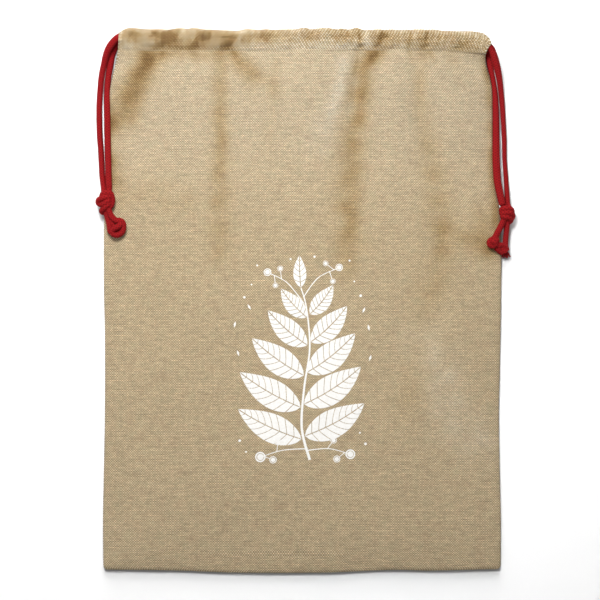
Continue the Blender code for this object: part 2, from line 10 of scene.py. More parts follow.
import bpy
import numpy as np
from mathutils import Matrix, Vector


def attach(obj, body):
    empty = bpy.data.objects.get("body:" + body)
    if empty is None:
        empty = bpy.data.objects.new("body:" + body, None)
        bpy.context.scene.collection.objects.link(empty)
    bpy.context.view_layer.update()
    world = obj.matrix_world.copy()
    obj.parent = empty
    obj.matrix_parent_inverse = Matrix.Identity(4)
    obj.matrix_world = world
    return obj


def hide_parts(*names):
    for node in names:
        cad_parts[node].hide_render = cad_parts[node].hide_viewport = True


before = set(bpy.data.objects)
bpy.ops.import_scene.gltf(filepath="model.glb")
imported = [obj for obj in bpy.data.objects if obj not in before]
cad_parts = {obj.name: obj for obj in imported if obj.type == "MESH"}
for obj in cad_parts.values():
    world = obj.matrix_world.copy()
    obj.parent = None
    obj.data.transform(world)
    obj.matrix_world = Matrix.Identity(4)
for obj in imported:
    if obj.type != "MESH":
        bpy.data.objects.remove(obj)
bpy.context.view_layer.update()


def table(kind, rows):
    """Rows with named columns."""
    return [kind(*row) for row in rows]


# Sizes that the solids have too
CLOTH = 0.0012
CORD = 0.0066
STITCH = 0.3139
CASING_HALF = 0.0049
BACK_CORD = 0.0049
FRONT_CORD = 0.0209
CROWN = 0.0165
SEAM = 0.0024
SEAM_TOP = 0.0105
ROLL = 0.0027
ROLL_WIDTH = 0.0042
SLOPE = 0.052
SLOPE_STEEPENS = 0.5
FOLD_FADE = 0.012
FRONT_HEAD = 0.0014
BACK_CURL = 0.0022
BACK_CURL_SHARE = 1.3
BACK_UNDER = 0.0004
WALL_LEFT = -0.201
WALL_RIGHT = 0.203
BACK_TOP_INSET = 0.0016
BACK_SIDE_INSET = 0.0007
BACK_END_INSET = 0.0026
FOLD_FALL = 1.4

Span = namedtuple("Span", "start length")
SEAM_RISES = Span(0.225, 0.075)
FRONT_RISES = Span(0.165, STITCH - 0.165)
FRONT_PARTS = Span(0.298, 0.018)
BACK_PARTS = Span(0.293, 0.013)
COLUMNS_EVEN = Span(0.262, 0.03)
BACK_NARROWS = Span(0.285, 0.02)

Edge = namedtuple("Edge", "y x")
LEFT_EDGE = table(Edge, [
    (-0.336, -0.2496), (-0.276, -0.25), (-0.21, -0.2488), (-0.14, -0.2476), (-0.04, -0.2476),
    (0.01, -0.2488), (0.09, -0.2488), (0.16, -0.2462), (0.24, -0.2425), (0.27, -0.2404),
    (0.302, -0.2338), (0.316, -0.2303), (0.336, -0.229),
])
# With more points than the solids' edge has, and up to about 2 mm away from it
RIGHT_EDGE = table(Edge, [
    (-0.336, 0.2492), (-0.276, 0.2494), (-0.22, 0.2482), (-0.14, 0.247), (-0.08, 0.2484),
    (0.05, 0.2502), (0.101, 0.2486), (0.118, 0.2474), (0.13, 0.2446), (0.145, 0.2425), (0.18, 0.24),
    (0.25, 0.2392), (0.277, 0.2368), (0.298, 0.2318), (0.309, 0.231), (0.3165, 0.234), (0.322, 0.2378),
    (0.3275, 0.2358), (0.336, 0.2275),
])
Level = namedtuple("Level", "x y")
TOP_EDGE = table(Level, [
    (-0.229, 0.3365), (-0.224, 0.3395), (-0.2125, 0.3414), (-0.205, 0.3396), (-0.19, 0.3414),
    (-0.178, 0.3391), (-0.144, 0.3416), (-0.1215, 0.3402), (-0.0915, 0.3385), (-0.0665, 0.3398),
    (-0.046, 0.3389), (0.009, 0.341), (0.037, 0.3413), (0.057, 0.3398), (0.0695, 0.3413),
    (0.082, 0.339), (0.1185, 0.3386), (0.145, 0.34), (0.174, 0.3388), (0.1955, 0.3366),
    (0.2255, 0.3356), (0.234, 0.333),
])
WALL_TOP = table(Level, [
    (-0.201, 0.3391), (0.12, 0.3389), (0.203, 0.3367),
])
STITCH_LINE = table(Level, [
    (-0.23, STITCH + 0.0022), (-0.195, STITCH), (0.165, STITCH), (0.231, STITCH - 0.0042),
])
BOTTOM_EDGE = table(Level, [
    (-0.247, -0.3377), (-0.153, -0.339), (-0.085, -0.3415), (0.03, -0.3415), (0.088, -0.339),
    (0.124, -0.3381), (0.161, -0.339), (0.244, -0.3372),
])
Fold = namedtuple("Fold", "points depth foot_depth half_width foot_half_width")
FOLDS = table(Fold, [
    ([(0.0735, 0.316), (0.0645, 0.24), (0.0607, 0.186), (0.0545, 0.101), (0.0545, 0.005)],
     0.0062, 0.0008, 0.01, 0.023),
    ([(-0.1016, 0.316), (-0.1028, 0.248), (-0.1054, 0.186), (-0.108, 0.12)],
     0.004, 0.0005, 0.0095, 0.015),
    ([(-0.18, 0.322), (-0.1997, 0.294), (-0.2123, 0.256), (-0.224, 0.215)],
     0.0042, 0.001, 0.014, 0.015),
    ([(-0.0865, 0.32), (-0.0664, 0.289), (-0.054, 0.268)], 0.0028, 0.0004, 0.009, 0.01),
    ([(0.099, 0.32), (0.09, 0.288)], 0.003, 0.0004, 0.009, 0.01),
    ([(0.1462, 0.316), (0.1462, 0.243), (0.1576, 0.186), (0.1701, 0.143), (0.1739, 0.08),
     (0.1701, 0.017), (0.1613, -0.037), (0.1362, -0.091)], 0.0036, 0.0008, 0.014, 0.026),
    ([(0.185, 0.312), (0.2079, 0.268)], 0.002, 0.0004, 0.011, 0.012),
    ([(-0.227, 0.16), (-0.2274, 0.13)], 0.0016, 0.001, 0.014, 0.014),
    ([(0.1865, -0.05), (0.111, -0.192)], -0.0018, -0.0006, 0.024, 0.03),
    ([(0.023, 0.3), (0.02, 0.18)], -0.0026, -0.0006, 0.03, 0.03),
    ([(0.112, 0.3), (0.112, 0.065)], -0.0022, -0.0006, 0.02, 0.026),
    ([(-0.15, 0.3), (-0.148, 0.145)], -0.002, -0.0006, 0.026, 0.03),
])
Dimple = namedtuple("Dimple", "x depth half_width")
DIMPLES = table(Dimple, [
    (-0.204, 0.5, 0.008), (-0.1745, 1.0, 0.011), (-0.153, 0.7, 0.007), (-0.133, 0.9, 0.008),
    (-0.093, 1.0, 0.011), (-0.064, 0.5, 0.008), (-0.04, 0.5, 0.008), (0.0, 0.3, 0.01),
    (0.048, 0.4, 0.008), (0.077, 1.0, 0.009), (0.1035, 0.9, 0.008), (0.135, 0.8, 0.009),
    (0.163, 0.7, 0.008), (0.208, 0.7, 0.011),
])
# The cords' routes. Outside the casings some points are moved from the solids', by up to 4 mm
LEFT_ROUTE = [
    (-0.2494, 0.144, 0.0076), (-0.2514, 0.16, 0.0052), (-0.2522, 0.1767, 0.0036),
    (-0.2532, 0.1934, 0.0034), (-0.2544, 0.2085, 0.0034), (-0.2549, 0.2422, 0.0034),
    (-0.2532, 0.2711, 0.0036), (-0.2514, 0.2854, 0.005), (-0.2492, 0.2951, 0.0076),
    (-0.2456, 0.309, 0.013), (-0.2412, 0.3182, 0.0168), (-0.2348, 0.326, 0.0196),
    (-0.2285, 0.3305, 0.0207), (-0.22, 0.3323, 0.0209), (-0.19, 0.3325, 0.0209),
    (-0.14, 0.3325, 0.0209), (-0.09, 0.3316, 0.0209), (-0.04, 0.3323, 0.0209), (0.02, 0.3325, 0.0209),
    (0.09, 0.3316, 0.0209), (0.15, 0.3318, 0.0209), (0.185, 0.3302, 0.0209), (0.202, 0.3287, 0.0209),
    (0.211, 0.328, 0.0209), (0.2165, 0.3276, 0.0185), (0.219, 0.3276, 0.0129), (0.2165, 0.3276, 0.0073),
    (0.211, 0.328, 0.0049), (0.202, 0.3281, 0.0049), (0.185, 0.329, 0.0049), (0.15, 0.33, 0.0049),
    (0.09, 0.3302, 0.0049), (0.02, 0.331, 0.0049), (-0.04, 0.3306, 0.0049), (-0.09, 0.3304, 0.0049),
    (-0.14, 0.331, 0.0049), (-0.19, 0.3306, 0.0049), (-0.213, 0.3308, 0.0049), (-0.223, 0.3286, 0.005),
    (-0.2303, 0.3236, 0.005), (-0.2356, 0.3175, 0.0046), (-0.2392, 0.3086, 0.0038),
    (-0.2414, 0.2951, 0.0038), (-0.2436, 0.2807, 0.004), (-0.245, 0.2662, 0.0046),
    (-0.2452, 0.2469, 0.0064), (-0.2446, 0.2277, 0.0078), (-0.2442, 0.2045, 0.009),
    (-0.2438, 0.1877, 0.0097), (-0.2433, 0.171, 0.0103), (-0.243, 0.156, 0.0107),
    (-0.2423, 0.1427, 0.0114),
]
RIGHT_ROUTE = [
    (0.259, 0.1205, 0.0062), (0.2584, 0.1341, 0.0044), (0.2576, 0.1498, 0.0035),
    (0.2564, 0.1654, 0.0034), (0.2554, 0.1805, 0.0034), (0.255, 0.2037, 0.0034),
    (0.2542, 0.2182, 0.0034), (0.2531, 0.2374, 0.0034), (0.252, 0.2519, 0.0037),
    (0.2504, 0.2662, 0.0054), (0.2482, 0.2807, 0.0088), (0.2449, 0.2951, 0.0128),
    (0.2406, 0.309, 0.0168), (0.2364, 0.3172, 0.0194), (0.229, 0.3206, 0.0207), (0.217, 0.3207, 0.0209),
    (0.202, 0.3212, 0.0209), (0.185, 0.3222, 0.0209), (0.15, 0.3236, 0.0209), (0.09, 0.324, 0.0209),
    (0.02, 0.324, 0.0209), (-0.04, 0.3238, 0.0209), (-0.09, 0.3236, 0.0209), (-0.14, 0.324, 0.0209),
    (-0.18, 0.3238, 0.0209), (-0.202, 0.3236, 0.0209), (-0.21, 0.3234, 0.0209),
    (-0.2158, 0.3232, 0.0185), (-0.2182, 0.3231, 0.0129), (-0.2158, 0.3232, 0.0073),
    (-0.21, 0.3234, 0.0049), (-0.202, 0.3236, 0.0049), (-0.18, 0.3232, 0.0049), (-0.14, 0.323, 0.0049),
    (-0.09, 0.3228, 0.0049), (-0.04, 0.323, 0.0049), (0.02, 0.3232, 0.0049), (0.09, 0.323, 0.0049),
    (0.15, 0.3229, 0.0049), (0.185, 0.3217, 0.0049), (0.202, 0.3208, 0.0049), (0.217, 0.3204, 0.005),
    (0.2282, 0.3186, 0.0051), (0.234, 0.3132, 0.005), (0.2356, 0.305, 0.0045), (0.238, 0.2915, 0.0038),
    (0.2408, 0.276, 0.0036), (0.2429, 0.2614, 0.0038), (0.244, 0.2469, 0.0044),
    (0.2444, 0.2277, 0.0048), (0.2445, 0.2085, 0.0054), (0.2445, 0.181, 0.0064),
    (0.2451, 0.1654, 0.0072), (0.2462, 0.1498, 0.0086), (0.2492, 0.1341, 0.01),
    (0.2522, 0.1205, 0.0106),
]

# Sizes of the looks
RUFFLE = 0.0038  # how far the casing's gathers would stand over its dimples at their full puff
FLUFF_ENDS = Span(0.265, 0.03)
FOLD_ENDS = Span(0.27, 0.044)
LEFT_FLUFF = 0.0004  # how far the cloth's edges reach past the solids
RIGHT_FLUFF = 0.0013
FOOT_FLUFF = 0.0014
ROLL_PROUD = 0.0007  # how much more the front rolls up than its solid, which starts higher
SOFT_CORNER = 0.0055
END_ROUNDS = 6  # how often a row's end is moved towards the outline
FOLD_SHALLOWS = 0.45  # the share of a fold's depth that is gone at the casing
YARN = 0.00157  # pitch of the plain weave
# The casing's weave is drawn coarser than it is, by one over these along it and up it, so that it
# stays visible among the gathers
CASING_ACROSS = 0.8
CASING_WEAVE = 0.76
CASING_STEPS = 3  # rows of the sheet for each row of the casing's tables
CORD_SIDES = 24
KNIT_YARNS = 5
KNIT_PITCH = 0.0034
KNIT_RELIEF = 0.045
ROUTE_FINE = 12
TUBE_SHIFT = 0.05  # how far along the knit each tube of a piece starts after the one before
CORD_STEP = 0.0009
STRAND_STEP = 0.0008
CORD_TIP = 0.35  # how far a tube's end bulges, as a share of its half width
TUFT_YARNS = 60
TUFT_POINTS = 6
THREAD_SIDES = 6
FLAT_WIDTH = 0.5  # the panels as they were cut, without their turned-in seams
FRAME_WIDTH = 0.7548  # what the camera takes in, at the height of the bag
VIEW_HEIGHT = 0.008
LENS = 180.0
SENSOR = 36.0
AIM = (-0.0022, 0.0006)

# How uneven the cloth is
BODY_BROAD = 0.0005
BODY_FINE = 0.00013
FINE_ACROSS = 1.6
FINE_UPWARD = 0.8
SCALLOP = 0.0007
CRUMPLE = 0.0005
WAVES = 24  # how many waves each random field is the sum of

# The casing's front. A share runs from its stitch line (0) to its top edge (1)
CASING_FADE = 0.006  # how near the casing's ends its creases fade out
CASING_HEIGHT = 0.026
FOLDS_END = 0.42
CREASES_END = 0.2
PUCKERS_START = -0.06
PUCKERS_STOP = 1.06
PUCKER_RAMP = 5.0
PUCKER_RELIEF = 0.55
PUCKER_ENDS = 0.45  # how strong a pucker is at its ends, as a share of its middle
CORD_CLEAR = 0.0002  # how far the casing stays off the cords inside it
STRANDS_ABOVE = 0.0205  # the cords' points above this height are their front strands
STRANDS_START = -0.216
STRANDS_STOP = 0.218

# How the painted shades are spread
Band = namedtuple("Band", "middle width")
UPPER_BAND = Band(0.65, 0.33)
FOOT_BAND = Band(0.15, 0.28)
BODY_UNEVEN = 0.22
CASING_UNEVEN = 0.3
GRIT_SHADE = 0.075
GRIT_RAMP = 6.0
CREASE_SHADE = 70.0  # the share of the light lost for each metre of a crease's depth
PUCKER_SHADE = 130.0  # the same for a pucker's
SHADE_GRAIN = 1.3
RIDGE_SHOWS = 0.0016  # the height of a ridge past which it is no lighter
BELOW_CASING = 0.014  # how far below the stitch line the casing's shade reaches
BELOW_SHARE = 0.4
LIGHTEST = -0.16
DARKEST = 0.66

# The camera
half_angle = math.atan(SENSOR / 2 / LENS)
camera_data = bpy.data.cameras.new("camera")
camera_data.lens = LENS
camera_data.sensor_width = SENSOR
camera_data.clip_end = 20.0
camera = bpy.data.objects.new("camera", camera_data)
camera.location = (AIM[0], AIM[1], VIEW_HEIGHT + FRAME_WIDTH / 2 / math.tan(half_angle))
bpy.context.scene.collection.objects.link(camera)
bpy.context.scene.camera = camera


def ease(t):
    t = np.clip(t, 0.0, 1.0)
    return t * t * (3.0 - 2.0 * t)


def over(span, y):
    return ease((y - span.start) / span.length)


def along(curve, at):
    """The smooth curve through rows of (place, value), read at many places."""
    rows = np.array([tuple(row) for row in curve])
    xs, ys = rows[:, 0], rows[:, 1]
    slopes = np.empty(len(xs))
    slopes[1:-1] = (ys[2:] - ys[:-2]) / (xs[2:] - xs[:-2])
    slopes[0] = (ys[1] - ys[0]) / (xs[1] - xs[0])
    slopes[-1] = (ys[-1] - ys[-2]) / (xs[-1] - xs[-2])
    at = np.clip(np.asarray(at, float), xs[0], xs[-1])
    i = np.clip(np.searchsorted(xs, at) - 1, 0, len(xs) - 2)
    width = xs[i + 1] - xs[i]
    t = (at - xs[i]) / width
    return (ys[i] + (ys[i + 1] - ys[i]) * t * t * (3.0 - 2.0 * t)
            + width * slopes[i] * t * (1 - t) ** 2 - width * slopes[i + 1] * t * t * (1 - t))


def fold_relief(folds, x, y):
    """How deep folds are at many places, or for the painted shades, how much of the light they take."""
    sunk = np.zeros(np.broadcast(x, y).shape)
    for fold in folds:
        nearest = np.full(sunk.shape, 1e9)
        share = np.zeros(sunk.shape)
        count = len(fold.points) - 1
        for k in range(count):
            (ax, ay), (bx, by) = fold.points[k], fold.points[k + 1]
            length_2 = (bx - ax) ** 2 + (by - ay) ** 2
            t = np.clip(((x - ax) * (bx - ax) + (y - ay) * (by - ay)) / length_2, 0.0, 1.0)
            away = np.hypot(x - ax - t * (bx - ax), y - ay - t * (by - ay))
            closer = away < nearest
            nearest = np.where(closer, away, nearest)
            share = np.where(closer, (k + t) / count, share)
        depth = fold.depth + (fold.foot_depth - fold.depth) * share
        half_width = fold.half_width + (fold.foot_half_width - fold.half_width) * share
        sunk = sunk + depth * np.exp(-(nearest / half_width) ** 2 * FOLD_FALL)
    return sunk


def gathers(x):
    pressed = sum(d.depth * np.exp(-(((x - d.x) / d.half_width) ** 2)) for d in DIMPLES)
    return np.maximum(1.0 - pressed, 0.0)


def seam_height(y):
    return SEAM + (SEAM_TOP - SEAM) * over(SEAM_RISES, y)


def inward(side, foot):
    side, foot = np.maximum(side, 1e-6), np.maximum(foot, 1e-6)
    return (side ** -3.0 + foot ** -3.0) ** (-1.0 / 3.0)


def waves(seed, length):
    """A smooth random field, the same each run: a sum of waves of about one length."""
    draw = np.random.default_rng(seed)
    angle = draw.uniform(0.0, math.pi, WAVES)
    size = 2.0 * math.pi / (length * draw.uniform(0.7, 1.6, WAVES))
    shift = draw.uniform(0.0, 2.0 * math.pi, WAVES)

    def field(x, y):
        total = np.zeros(np.broadcast(x, y).shape)
        for a, s, p in zip(angle, size, shift):
            total = total + np.cos(s * (x * math.cos(a) + y * math.sin(a)) + p)
        return total / math.sqrt(WAVES / 2.0)
    return field


broad = waves(3, 0.12)
middling = waves(4, 0.04)
crumple = waves(9, 0.017)
scallops = waves(11, 0.02)
grit = waves(13, 0.006)

# Painted shade on the front cloth, in its folds and where the cords shade its edges: a fold's depth
# is the share of the light lost there, and below zero it is a painted lighter band. The strengths are
# fitted to the photograph's brightness
SHADES = table(Fold, [
    ([(0.07, 0.315), (0.069, 0.3), (0.065, 0.286), (0.062, 0.27), (0.06, 0.25)],
     0.17, 0.06, 0.0028, 0.0045),
    ([(0.096, 0.313), (0.088, 0.3)], 0.16, 0.06, 0.0046, 0.006),
    ([(-0.176, 0.3125), (-0.17, 0.302)], 0.16, 0.05, 0.004, 0.005),
    ([(-0.14, 0.314), (-0.137, 0.306)], 0.17, 0.06, 0.005, 0.006),
    ([(-0.088, 0.314), (-0.082, 0.306), (-0.075, 0.297)], 0.24, 0.06, 0.0032, 0.005),
    ([(0.134, 0.313), (0.14, 0.3)], 0.12, 0.04, 0.0036, 0.005),
    ([(0.16, 0.312), (0.169, 0.298)], 0.12, 0.04, 0.004, 0.005),
    ([(-0.229, 0.314), (-0.218, 0.308)], 0.12, 0.04, 0.003, 0.004),
    ([(0.088, 0.316), (0.088, 0.305), (0.078, 0.29), (0.0735, 0.272), (0.0715, 0.252), (0.068, 0.227),
     (0.0645, 0.196), (0.0594, 0.164), (0.0582, 0.126), (0.0607, 0.076)], 0.37, 0.08, 0.012, 0.026),
    ([(0.052, 0.3), (0.05, 0.272), (0.044, 0.252), (0.03, 0.227), (0.023, 0.196)],
     -0.15, -0.09, 0.011, 0.017),
    ([(0.062, 0.196), (0.061, 0.164), (0.059, 0.126), (0.057, 0.076), (0.056, 0.04)],
     0.12, 0.17, 0.014, 0.016),
    ([(-0.1934, 0.296), (-0.196, 0.29), (-0.2035, 0.272), (-0.2085, 0.252), (-0.2211, 0.227),
     (-0.2311, 0.222)], 0.25, 0.19, 0.017, 0.016),
    ([(-0.195, 0.308), (-0.16, 0.308), (-0.13, 0.307), (-0.118, 0.306)], 0.08, 0.12, 0.008, 0.008),
    ([(-0.084, 0.31), (-0.08, 0.301)], 0.16, 0.1, 0.005, 0.006),
    ([(-0.07, 0.295), (-0.056, 0.285), (-0.042, 0.272), (-0.034, 0.26)], 0.22, 0.05, 0.012, 0.012),
    ([(-0.237, 0.173), (-0.234, 0.13)], 0.22, 0.12, 0.013, 0.02),
    ([(-0.2, 0.135), (-0.15, 0.125)], 0.06, 0.06, 0.024, 0.024),
    ([(0.185, 0.085), (0.225, 0.072)], 0.14, 0.2, 0.017, 0.02),
    ([(0.15, -0.05), (0.175, -0.1), (0.19, -0.15), (0.22, -0.175)], -0.13, -0.12, 0.032, 0.035),
    ([(-0.24, 0.25), (-0.243, 0.215), (-0.243, 0.15)], 0.14, 0.2, 0.007, 0.007),
    ([(0.229, 0.303), (0.235, 0.275), (0.2385, 0.24), (0.239, 0.17), (0.244, 0.125), (0.245, 0.085)],
     0.26, 0.34, 0.006, 0.007),
    ([(0.24, 0.075), (0.236, 0.06)], 0.24, 0.16, 0.01, 0.008),
    ([(0.07, 0.275), (0.07, 0.235), (0.066, 0.205)], 0.1, 0.04, 0.012, 0.016),
    ([(0.099, 0.316), (0.09, 0.3)], 0.14, 0.05, 0.008, 0.012),
    ([(-0.1028, 0.313), (-0.1028, 0.2), (-0.103, 0.126), (-0.105, 0.06)], 0.28, 0.09, 0.01, 0.019),
    ([(-0.1884, 0.309), (-0.1997, 0.29), (-0.211, 0.272), (-0.2236, 0.252), (-0.2412, 0.227),
     (-0.2487, 0.212)], 0.32, 0.24, 0.019, 0.022),
    ([(-0.0827, 0.308), (-0.0726, 0.29), (-0.0626, 0.272), (-0.055, 0.256)], 0.22, 0.02, 0.0115, 0.013),
    ([(0.1488, 0.313), (0.1488, 0.272), (0.1488, 0.247), (0.1538, 0.221), (0.1601, 0.196),
     (0.1664, 0.162), (0.1714, 0.126), (0.1739, 0.076), (0.165, 0.03), (0.152, -0.012),
     (0.1463, -0.075), (0.138, -0.13)], 0.12, 0.07, 0.011, 0.024),
    ([(0.162, 0.19), (0.17, 0.126), (0.178, 0.076), (0.17, 0.02)], 0.05, 0.05, 0.019, 0.026),
    ([(0.185, 0.312), (0.203, 0.275)], 0.06, 0.02, 0.011, 0.012),
    ([(-0.034, 0.3), (-0.037, 0.24), (-0.042, 0.185)], 0.06, 0.02, 0.009, 0.012),
    ([(-0.244, 0.17), (-0.244, 0.14)], 0.2, 0.1, 0.009, 0.009),
    ([(0.228, 0.11), (0.238, 0.06)], 0.1, 0.12, 0.016, 0.014),
])
# How much of its puff the casing has along its length
CASING_RISE = table(Level, [
    (-0.23, 0.4), (-0.2, 0.5), (-0.085, 0.5), (-0.055, 0.15), (0.05, 0.1), (0.075, 0.35), (0.16, 0.25),
    (0.23, 0.2),
])
# The casing's painted shade along its length: x, and the share of the light that is lost, which is
# fitted to the photograph's brightness
CASING_SHADE = table(Level, [
    (-0.23, 0.1), (-0.215, 0.32), (-0.2, 0.64), (-0.15, 0.5), (-0.105, 0.54), (-0.09, 0.32),
    (-0.07, 0.32), (-0.03, 0.36), (-0.004, 0.12), (0.013, 0.3), (0.03, 0.12), (0.048, 0.3), (0.07, 0.2),
    (0.09, 0.2), (0.105, 0.36), (0.12, 0.2), (0.137, 0.58), (0.155, 0.26), (0.175, 0.22), (0.2, 0.16),
    (0.23, 0.12),
])
# The painted shade of the casing's lower band: x, and the share of the light lost, lighter below zero
CASING_FOOT_SHADE = table(Level, [
    (-0.23, 0.0), (-0.216, -0.06), (-0.2, 0.24), (-0.18, 0.42), (-0.145, 0.38), (-0.115, 0.22),
    (-0.095, 0.38), (-0.075, -0.04), (-0.03, -0.08), (0.05, -0.1), (0.085, -0.02), (0.102, 0.2),
    (0.12, 0.0), (0.14, 0.0), (0.155, 0.14), (0.175, 0.08), (0.21, 0.18), (0.23, 0.08),
])

# Small creases that the solids leave out: pleats below the casing's dimples, and wrinkles
CREASES = table(Fold, [
    ([(-0.1745, 0.312), (-0.18, 0.288)], 0.0011, 0.0001, 0.004, 0.005),
    ([(-0.153, 0.312), (-0.15, 0.292)], 0.0008, 0.0001, 0.0032, 0.0045),
    ([(-0.133, 0.312), (-0.129, 0.285)], 0.0011, 0.0001, 0.0036, 0.005),
    ([(-0.093, 0.313), (-0.083, 0.29)], 0.0012, 0.0001, 0.0034, 0.005),
    ([(0.048, 0.312), (0.05, 0.296)], 0.0006, 0.0001, 0.0034, 0.005),
    ([(0.1035, 0.313), (0.099, 0.29)], 0.0012, 0.0001, 0.0036, 0.005),
    ([(0.135, 0.313), (0.137, 0.29)], 0.0009, 0.0001, 0.0036, 0.005),
    ([(0.163, 0.312), (0.168, 0.294)], 0.0008, 0.0001, 0.0036, 0.005),
    ([(-0.224, 0.318), (-0.214, 0.306), (-0.196, 0.3)], 0.0012, 0.0002, 0.0032, 0.005),
    ([(-0.238, 0.268), (-0.22, 0.262)], 0.0007, 0.0001, 0.004, 0.005),
])


def front_height(x, y, side, foot):
    opened = over(FRONT_PARTS, y)
    edge = seam_height(y) + (FRONT_CORD - SEAM_TOP) * opened
    near = inward(side, foot)
    rolled = (ROLL + ROLL_PROUD) * np.sqrt(1.0 - (1.0 - np.minimum(near / ROLL_WIDTH, 1.0)) ** 2)
    lifted = over(FRONT_RISES, y)
    middle = CROWN + (FRONT_CORD + FRONT_HEAD - CROWN) * lifted
    slope = SLOPE * (1.0 - SLOPE_STEEPENS * lifted)
    height = edge + (1.0 - opened) * rolled
    height = height + (middle - height) * (1.0 - np.exp(-near / slope))
    fade = 1.0 - np.exp(-near / FOLD_FADE)
    height = height - fold_relief(FOLDS, x, y) * fade * (1.0 - FOLD_SHALLOWS * over(FOLD_ENDS, y))
    height = height - fold_relief(CREASES, x, y) * fade
    fine = middling(x * FINE_ACROSS, y * FINE_UPWARD)
    return height + (BODY_BROAD * broad(x, y) + BODY_FINE * fine) * fade


def back_height(x, y, side, foot):
    edge = (seam_height(y) - BACK_UNDER) * (1.0 - over(BACK_PARTS, y))
    near = inward(side, foot)
    width = np.maximum(BACK_CURL, BACK_CURL_SHARE * edge)
    return edge * (1.0 - np.sqrt(1.0 - (1.0 - np.minimum(near / width, 1.0)) ** 2))


# A row lies a distance from its start. In the casing, out is how far it stands out of the bag
# from the middle of the cords inside, and folded says that it is on the part that is turned in
Row = namedtuple("Row", "start distance out folded", defaults=(None, False))
FRONT_FOOT = [0.0, 0.0004, 0.0015, 0.0032, 0.0055, 0.0085, 0.012, 0.016, 0.0205]
BACK_FOOT = [0.0, 0.0004, 0.0015, 0.0032, 0.006, 0.011, 0.018]
FRONT_CASING = table(Row, [
    ("stitch", 0.0, 0.0015), ("stitch", 0.003, 0.0027), ("stitch", 0.0075, 0.004),
    ("top", 0.0125, CASING_HALF), ("top", 0.006, CASING_HALF), ("top", 0.0018, 0.0031),
    ("top", 0.0, 0.0), ("top", 0.0016, -0.0034, True), ("top", 0.006, -CASING_HALF, True),
    ("stitch", 0.0075, -CASING_HALF, True), ("stitch", 0.0038, -0.004, True),
    ("stitch", 0.0012, -0.0021, True),
])
BACK_CASING = table(Row, [
    ("stitch", 0.004, CASING_HALF), ("top", 0.006, CASING_HALF), ("top", 0.0018, 0.0033),
    ("top", 0.0, 0.0), ("top", 0.0018, -0.0033, True), ("top", 0.006, -CASING_HALF, True),
    ("stitch", 0.0075, -CASING_HALF, True), ("stitch", 0.0036, -0.0034, True),
    ("stitch", 0.0006, 0.0004, True), ("stitch", -0.003, 0.0021, True),
])
SEAM_COLUMNS = [0.0, 0.0004, 0.0015, 0.003, 0.0052, 0.008, 0.011]


def bottom_y(x):
    return along(BOTTOM_EDGE, x) - FOOT_FLUFF


def row_y(row, x, is_back):
    if row.start == "bottom":
        return bottom_y(x) + row.distance
    if row.start == "level":
        return np.full(np.shape(x), row.distance)
    if row.start == "stitch":
        return along(STITCH_LINE, x) + row.distance
    top = along(WALL_TOP if row.folded else TOP_EDGE, x) + SCALLOP * scallops(x, 0.0)
    return top - row.distance - (BACK_TOP_INSET if is_back else 0.0)


def corner_inset(foot):
    short = max(SOFT_CORNER - foot, 0.0)
    return SOFT_CORNER - math.sqrt(SOFT_CORNER ** 2 - short ** 2)


def row_end(row, edge, middle_y, is_back):
    """Where a row meets the outline at one side, at the height that the row has there."""
    if row.start in ("bottom", "level") or row.folded:
        return float(along(edge, middle_y))
    end = float(along(edge, middle_y))
    for _ in range(END_ROUNDS):
        y = float(row_y(row, np.array([end]), is_back)[0])
        end = 0.5 * end + 0.5 * float(along(edge, y))
    return end


def row_points(row, count, is_back):
    """One row's points, from the left seam to the right one, and their shares of the width."""
    middle_y = float(row_y(row, np.zeros(1), is_back)[0])
    inset = corner_inset(row.distance if row.start == "bottom" else SOFT_CORNER)
    if is_back:
        inset += BACK_SIDE_INSET + BACK_END_INSET * float(over(BACK_NARROWS, middle_y))
    fluff = 1.0 - float(over(FLUFF_ENDS, middle_y))
    left = row_end(row, LEFT_EDGE, middle_y, is_back) + inset - LEFT_FLUFF * fluff
    right = row_end(row, RIGHT_EDGE, middle_y, is_back) - inset + RIGHT_FLUFF * fluff
    if row.folded:
        left, right = WALL_LEFT, WALL_RIGHT
    seam = np.array(SEAM_COLUMNS)
    even = np.linspace(0.0, seam[-1], len(seam))
    seam = seam + (even - seam) * float(over(COLUMNS_EVEN, middle_y))
    inner = left + seam[-1] + np.arange(1, count) / count * (right - left - 2.0 * seam[-1])
    x = np.concatenate([left + seam, inner, (right - seam)[::-1]])
    y = row_y(row, x, is_back)
    share = (x - left) / (right - left)
    side = np.minimum(x - left, right - x)
    if row.out is None:
        foot = y - bottom_y(x)
        z = back_height(x, y, side, foot) if is_back else front_height(x, y, side, foot)
    elif is_back:
        z = np.full(x.shape, BACK_CORD - row.out)
    else:
        rise = RUFFLE * gathers(x) * along(CASING_RISE, x)
        z = FRONT_CORD + row.out + rise * max(row.out / CASING_HALF, 0.0) ** 3
    return np.stack([x, y, z], axis=1), share


def refined(points, steps):
    """Rows of points with more rows on the smooth surface through them."""
    out = []
    count = len(points)
    for k in range(count - 1):
        p0, p1 = points[max(k - 1, 0)], points[k]
        p2, p3 = points[k + 1], points[min(k + 2, count - 1)]
        t1 = np.maximum(np.linalg.norm(p1 - p0, axis=1), 1e-7)[:, None] ** 0.5
        t2 = np.maximum(np.linalg.norm(p2 - p1, axis=1), 1e-7)[:, None] ** 0.5
        t3 = np.maximum(np.linalg.norm(p3 - p2, axis=1), 1e-7)[:, None] ** 0.5
        m1 = t2 * ((p1 - p0) / t1 - (p2 - p0) / (t1 + t2) + (p2 - p1) / t2)
        m2 = t2 * ((p2 - p1) / t2 - (p3 - p1) / (t2 + t3) + (p3 - p2) / t3)
        if k == 0:
            m1 = p2 - p1
        if k == count - 2:
            m2 = p2 - p1
        for n in range(steps):
            t = n / steps
            h = t * t * (3.0 - 2.0 * t)
            out.append(p1 + (p2 - p1) * h + m1 * t * (1 - t) ** 2 - m2 * t * t * (1 - t))
    out.append(points[-1])
    return out


